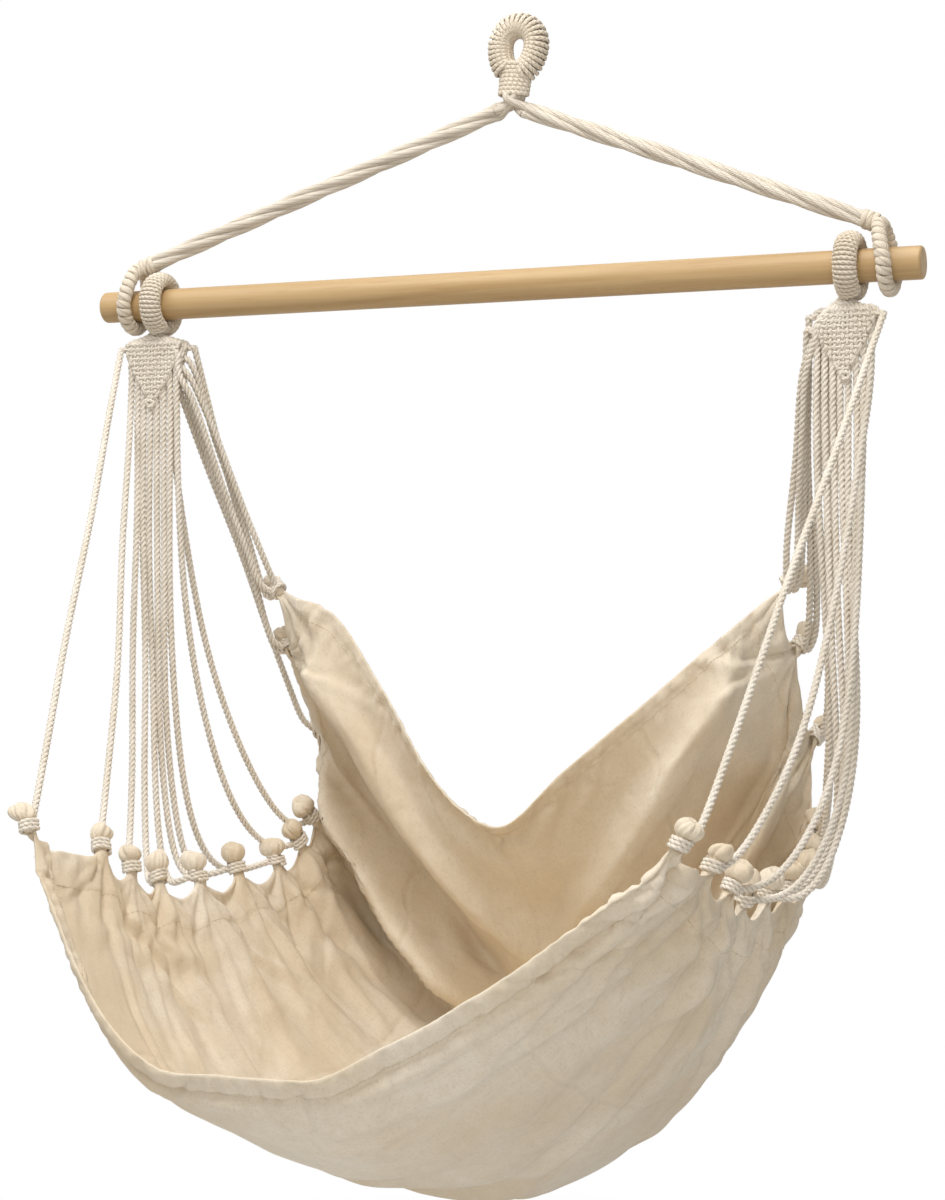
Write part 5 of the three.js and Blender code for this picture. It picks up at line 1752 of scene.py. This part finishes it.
def make_cloth(knob_sets, cloth_material, thread):
    """Canvas of two faces with its hems and casings, and the stitches along them."""
    alongs = graded(CLOTH_LENGTH, FRONT_HEM + EDGE_BAND, BACK_HEM + EDGE_BAND)
    shares = graded(FLAT_WIDTH, SIDE_CASING + CASING_BAND, SIDE_CASING + CASING_BAND)
    grid, inward = hung_surface(alongs, shares)
    coarse_alongs = np.linspace(0, 1, COARSE_ROWS)
    coarse_shares = np.linspace(0, 1, COARSE_COLUMNS)
    shift = simulated_shift(coarse_alongs, coarse_shares)
    grid = grid + refined(refined(shift, 0, coarse_alongs, alongs), 1, coarse_shares, shares)
    grid = grid + ripples(alongs, shares)[..., None] * grid_normals(grid)
    grid = cloth_details(grid, inward, alongs, shares, knob_sets)
    half, bend = hem_relief(alongs, shares, inward)
    grid = grid + bend[..., None] * grid_normals(grid)
    lift = grid_normals(grid) * half[..., None]
    upper = grid + lift + BAR_CENTRE
    lower = grid - lift + BAR_CENTRE

    quads = closed_sheet(*inward.shape)
    places = np.stack(np.meshgrid(shares * FLAT_WIDTH * MM, alongs * CLOTH_LENGTH * MM), -1).reshape(-1, 2)
    places = np.concatenate([places, places])
    shape = Shape()
    shape.add(np.concatenate([upper.reshape(-1, 3), lower.reshape(-1, 3)]), quads, places[quads])
    cloth = shape.piece("seat_canvas", "seat", cloth_material, ["seat_cloth"])
    stitches = make_stitches(upper, lower, alongs, shares, thread)
    area = 0.5 * sum(polygon.area for polygon in cloth.data.polygons)
    return cloth, stitches, area


def surface_at(grid, alongs, shares, along, share):
    """Points of a surface at shares along and across it."""
    row, down = place_in(along, alongs)
    column, beside = place_in(share, shares)
    down, beside = down[:, None], beside[:, None]
    first = grid[row, column] * (1 - beside) + grid[row, column + 1] * beside
    second = grid[row + 1, column] * (1 - beside) + grid[row + 1, column + 1] * beside
    return first * (1 - down) + second * down


def stitch_row(low, run, length):
    """Starts and ends of the stitches of a sewn line, as shares of a length of cloth."""
    count = int(run * length / STITCH_SPACING)
    starts = [low + run * i / count for i in range(count)]
    return [(start, start + STITCH_LENGTH / length) for start in starts]


def make_stitches(upper, lower, alongs, shares, thread):
    """Sewn lines along the hems and casings, on both faces."""
    shape = Shape()
    front = FRONT_HEM / CLOTH_LENGTH
    back = 1 - BACK_HEM / CLOTH_LENGTH
    left = SIDE_CASING / FLAT_WIDTH
    lines = [((along, along), ends) for along in (front, back)
             for ends in stitch_row(left, 1 - 2 * left, FLAT_WIDTH)]
    lines += [(ends, (share, share)) for share in (left, 1 - left)
              for ends in stitch_row(front, back - front, CLOTH_LENGTH)]
    alongs_of, shares_of = np.array(lines).transpose(1, 0, 2)
    middle = (alongs_of.mean(1), shares_of.mean(1))
    top, under = (surface_at(grid, alongs, shares, *middle) for grid in (upper, lower))
    out = unit_rows(top - under)
    for grid, way in ((upper, 1), (lower, -1)):
        starts, ends = (surface_at(grid, alongs, shares, alongs_of[:, i], shares_of[:, i]) for i in (0, 1))
        centres = (starts + ends) / 2
        for start, end, centre, lift in zip(starts, ends, centres, out * way):
            path = np.array([
                start - lift * STITCH_SINK, (start + centre) / 2 + lift * STITCH_SHOULDER,
                centre + lift * STITCH_CROWN, (end + centre) / 2 + lift * STITCH_SHOULDER,
                end - lift * STITCH_SINK])
            add_tube(shape, path, lambda length, angle: STITCH_THICKNESS / 2 + 0 * length * angle,
                     STITCH_SIDES, start=lift)
    return shape.piece("seat_stitches", "seat", thread)


# Stage and light
def seen_directly(tree):
    """1 where the camera, or a gloss or glass ray, looks, and 0 elsewhere."""
    path = node(tree, "ShaderNodeLightPath").outputs
    return maths(tree, "MAXIMUM", path["Is Camera Ray"], maths(
        tree, "MAXIMUM", path["Is Glossy Ray"], path["Is Transmission Ray"]))


def add_floor():
    """White floor far under the chair, which keeps its shadow near the chair and is plain
    white farther away."""
    z = FLOOR_HEIGHT * MM
    corners = ((-1, -1), (1, -1), (1, 1), (-1, 1))
    mesh = bpy.data.meshes.new("floor")
    mesh.from_pydata([(x * FLOOR_REACH, y * FLOOR_REACH, z) for x, y in corners], [], [(0, 1, 2, 3)])
    floor = new_object("floor", mesh)
    material, tree, bsdf = shader("floor_white", FLOOR_ROUGHNESS)
    bsdf.inputs["Base Color"].default_value = (FLOOR_GREY, FLOOR_GREY, FLOOR_GREY, 1)
    place = object_place(tree)
    distance = node(tree, "ShaderNodeVectorMath", {"operation": "LENGTH"}, i0=place).outputs["Value"]
    white = node(tree, "ShaderNodeEmission", Color=(1, 1, 1, 1), Strength=1.0).outputs[0]
    factor = times(tree, seen_directly(tree), ramp(tree, distance, *FLOOR_FADE))
    joined = node(tree, "ShaderNodeMixShader", i0=factor, i1=bsdf.outputs[0], i2=white)
    tree.links.new(joined.outputs[0], tree.nodes["Material Output"].inputs[0])
    mesh.materials.append(material)


def add_world():
    """White where it is seen, and a dimmer warm light elsewhere."""
    world = bpy.data.worlds.new("studio")
    bpy.context.scene.world = world
    world.use_nodes = True
    tree = world.node_tree
    seen = seen_directly(tree)
    strength = maths(tree, "ADD", times(tree, seen, 1 - WORLD_LIGHT), WORLD_LIGHT)
    back = tree.nodes["Background"]
    tree.links.new(mix(tree, seen, (*WORLD_TINT, 1), (1, 1, 1, 1)), back.inputs[0])
    tree.links.new(strength, back.inputs[1])


def add_lamp(name, place, size, power, tint):
    """Soft square lamp turned to the chair."""
    data = bpy.data.lights.new(name, "AREA")
    data.color = tint
    data.size = size
    data.energy = power
    lamp = new_object(name, data)
    lamp.location = place
    lamp.rotation_euler = (Vector(LAMP_AIM) - Vector(place)).to_track_quat("-Z", "Y").to_euler()


def main():
    add_camera()
    rope, cord, yoke = (strand_material(*strands) for strands in STRANDS)
    canvas = canvas_material()
    make_bar(wood_material())
    make_eye(rope, cord)
    make_yoke(yoke, cord)
    knob_sets = {}
    for side_name, side in SIDES.items():
        x = side * (BAR_LENGTH / 2 - YOKE_LOOP_INSETS[side_name] - HARNESS_SPACING)
        make_harness(side_name, BAR_CENTRE[0] + x + HARNESS_SHIFT, rope, cord)
        make_clew(side_name, side, x, rope)
        knob_sets[side] = make_ropes(side_name, side, x, rope)
        make_knobs(side_name, side, knob_sets[side], canvas, rope)
    cloth, stitches, area = make_cloth(knob_sets, canvas, thread_material())
    add_floor()
    add_world()
    for lamp in LAMPS:
        add_lamp(*lamp)
    bpy.context.scene.view_settings.view_transform = "Standard"


main()
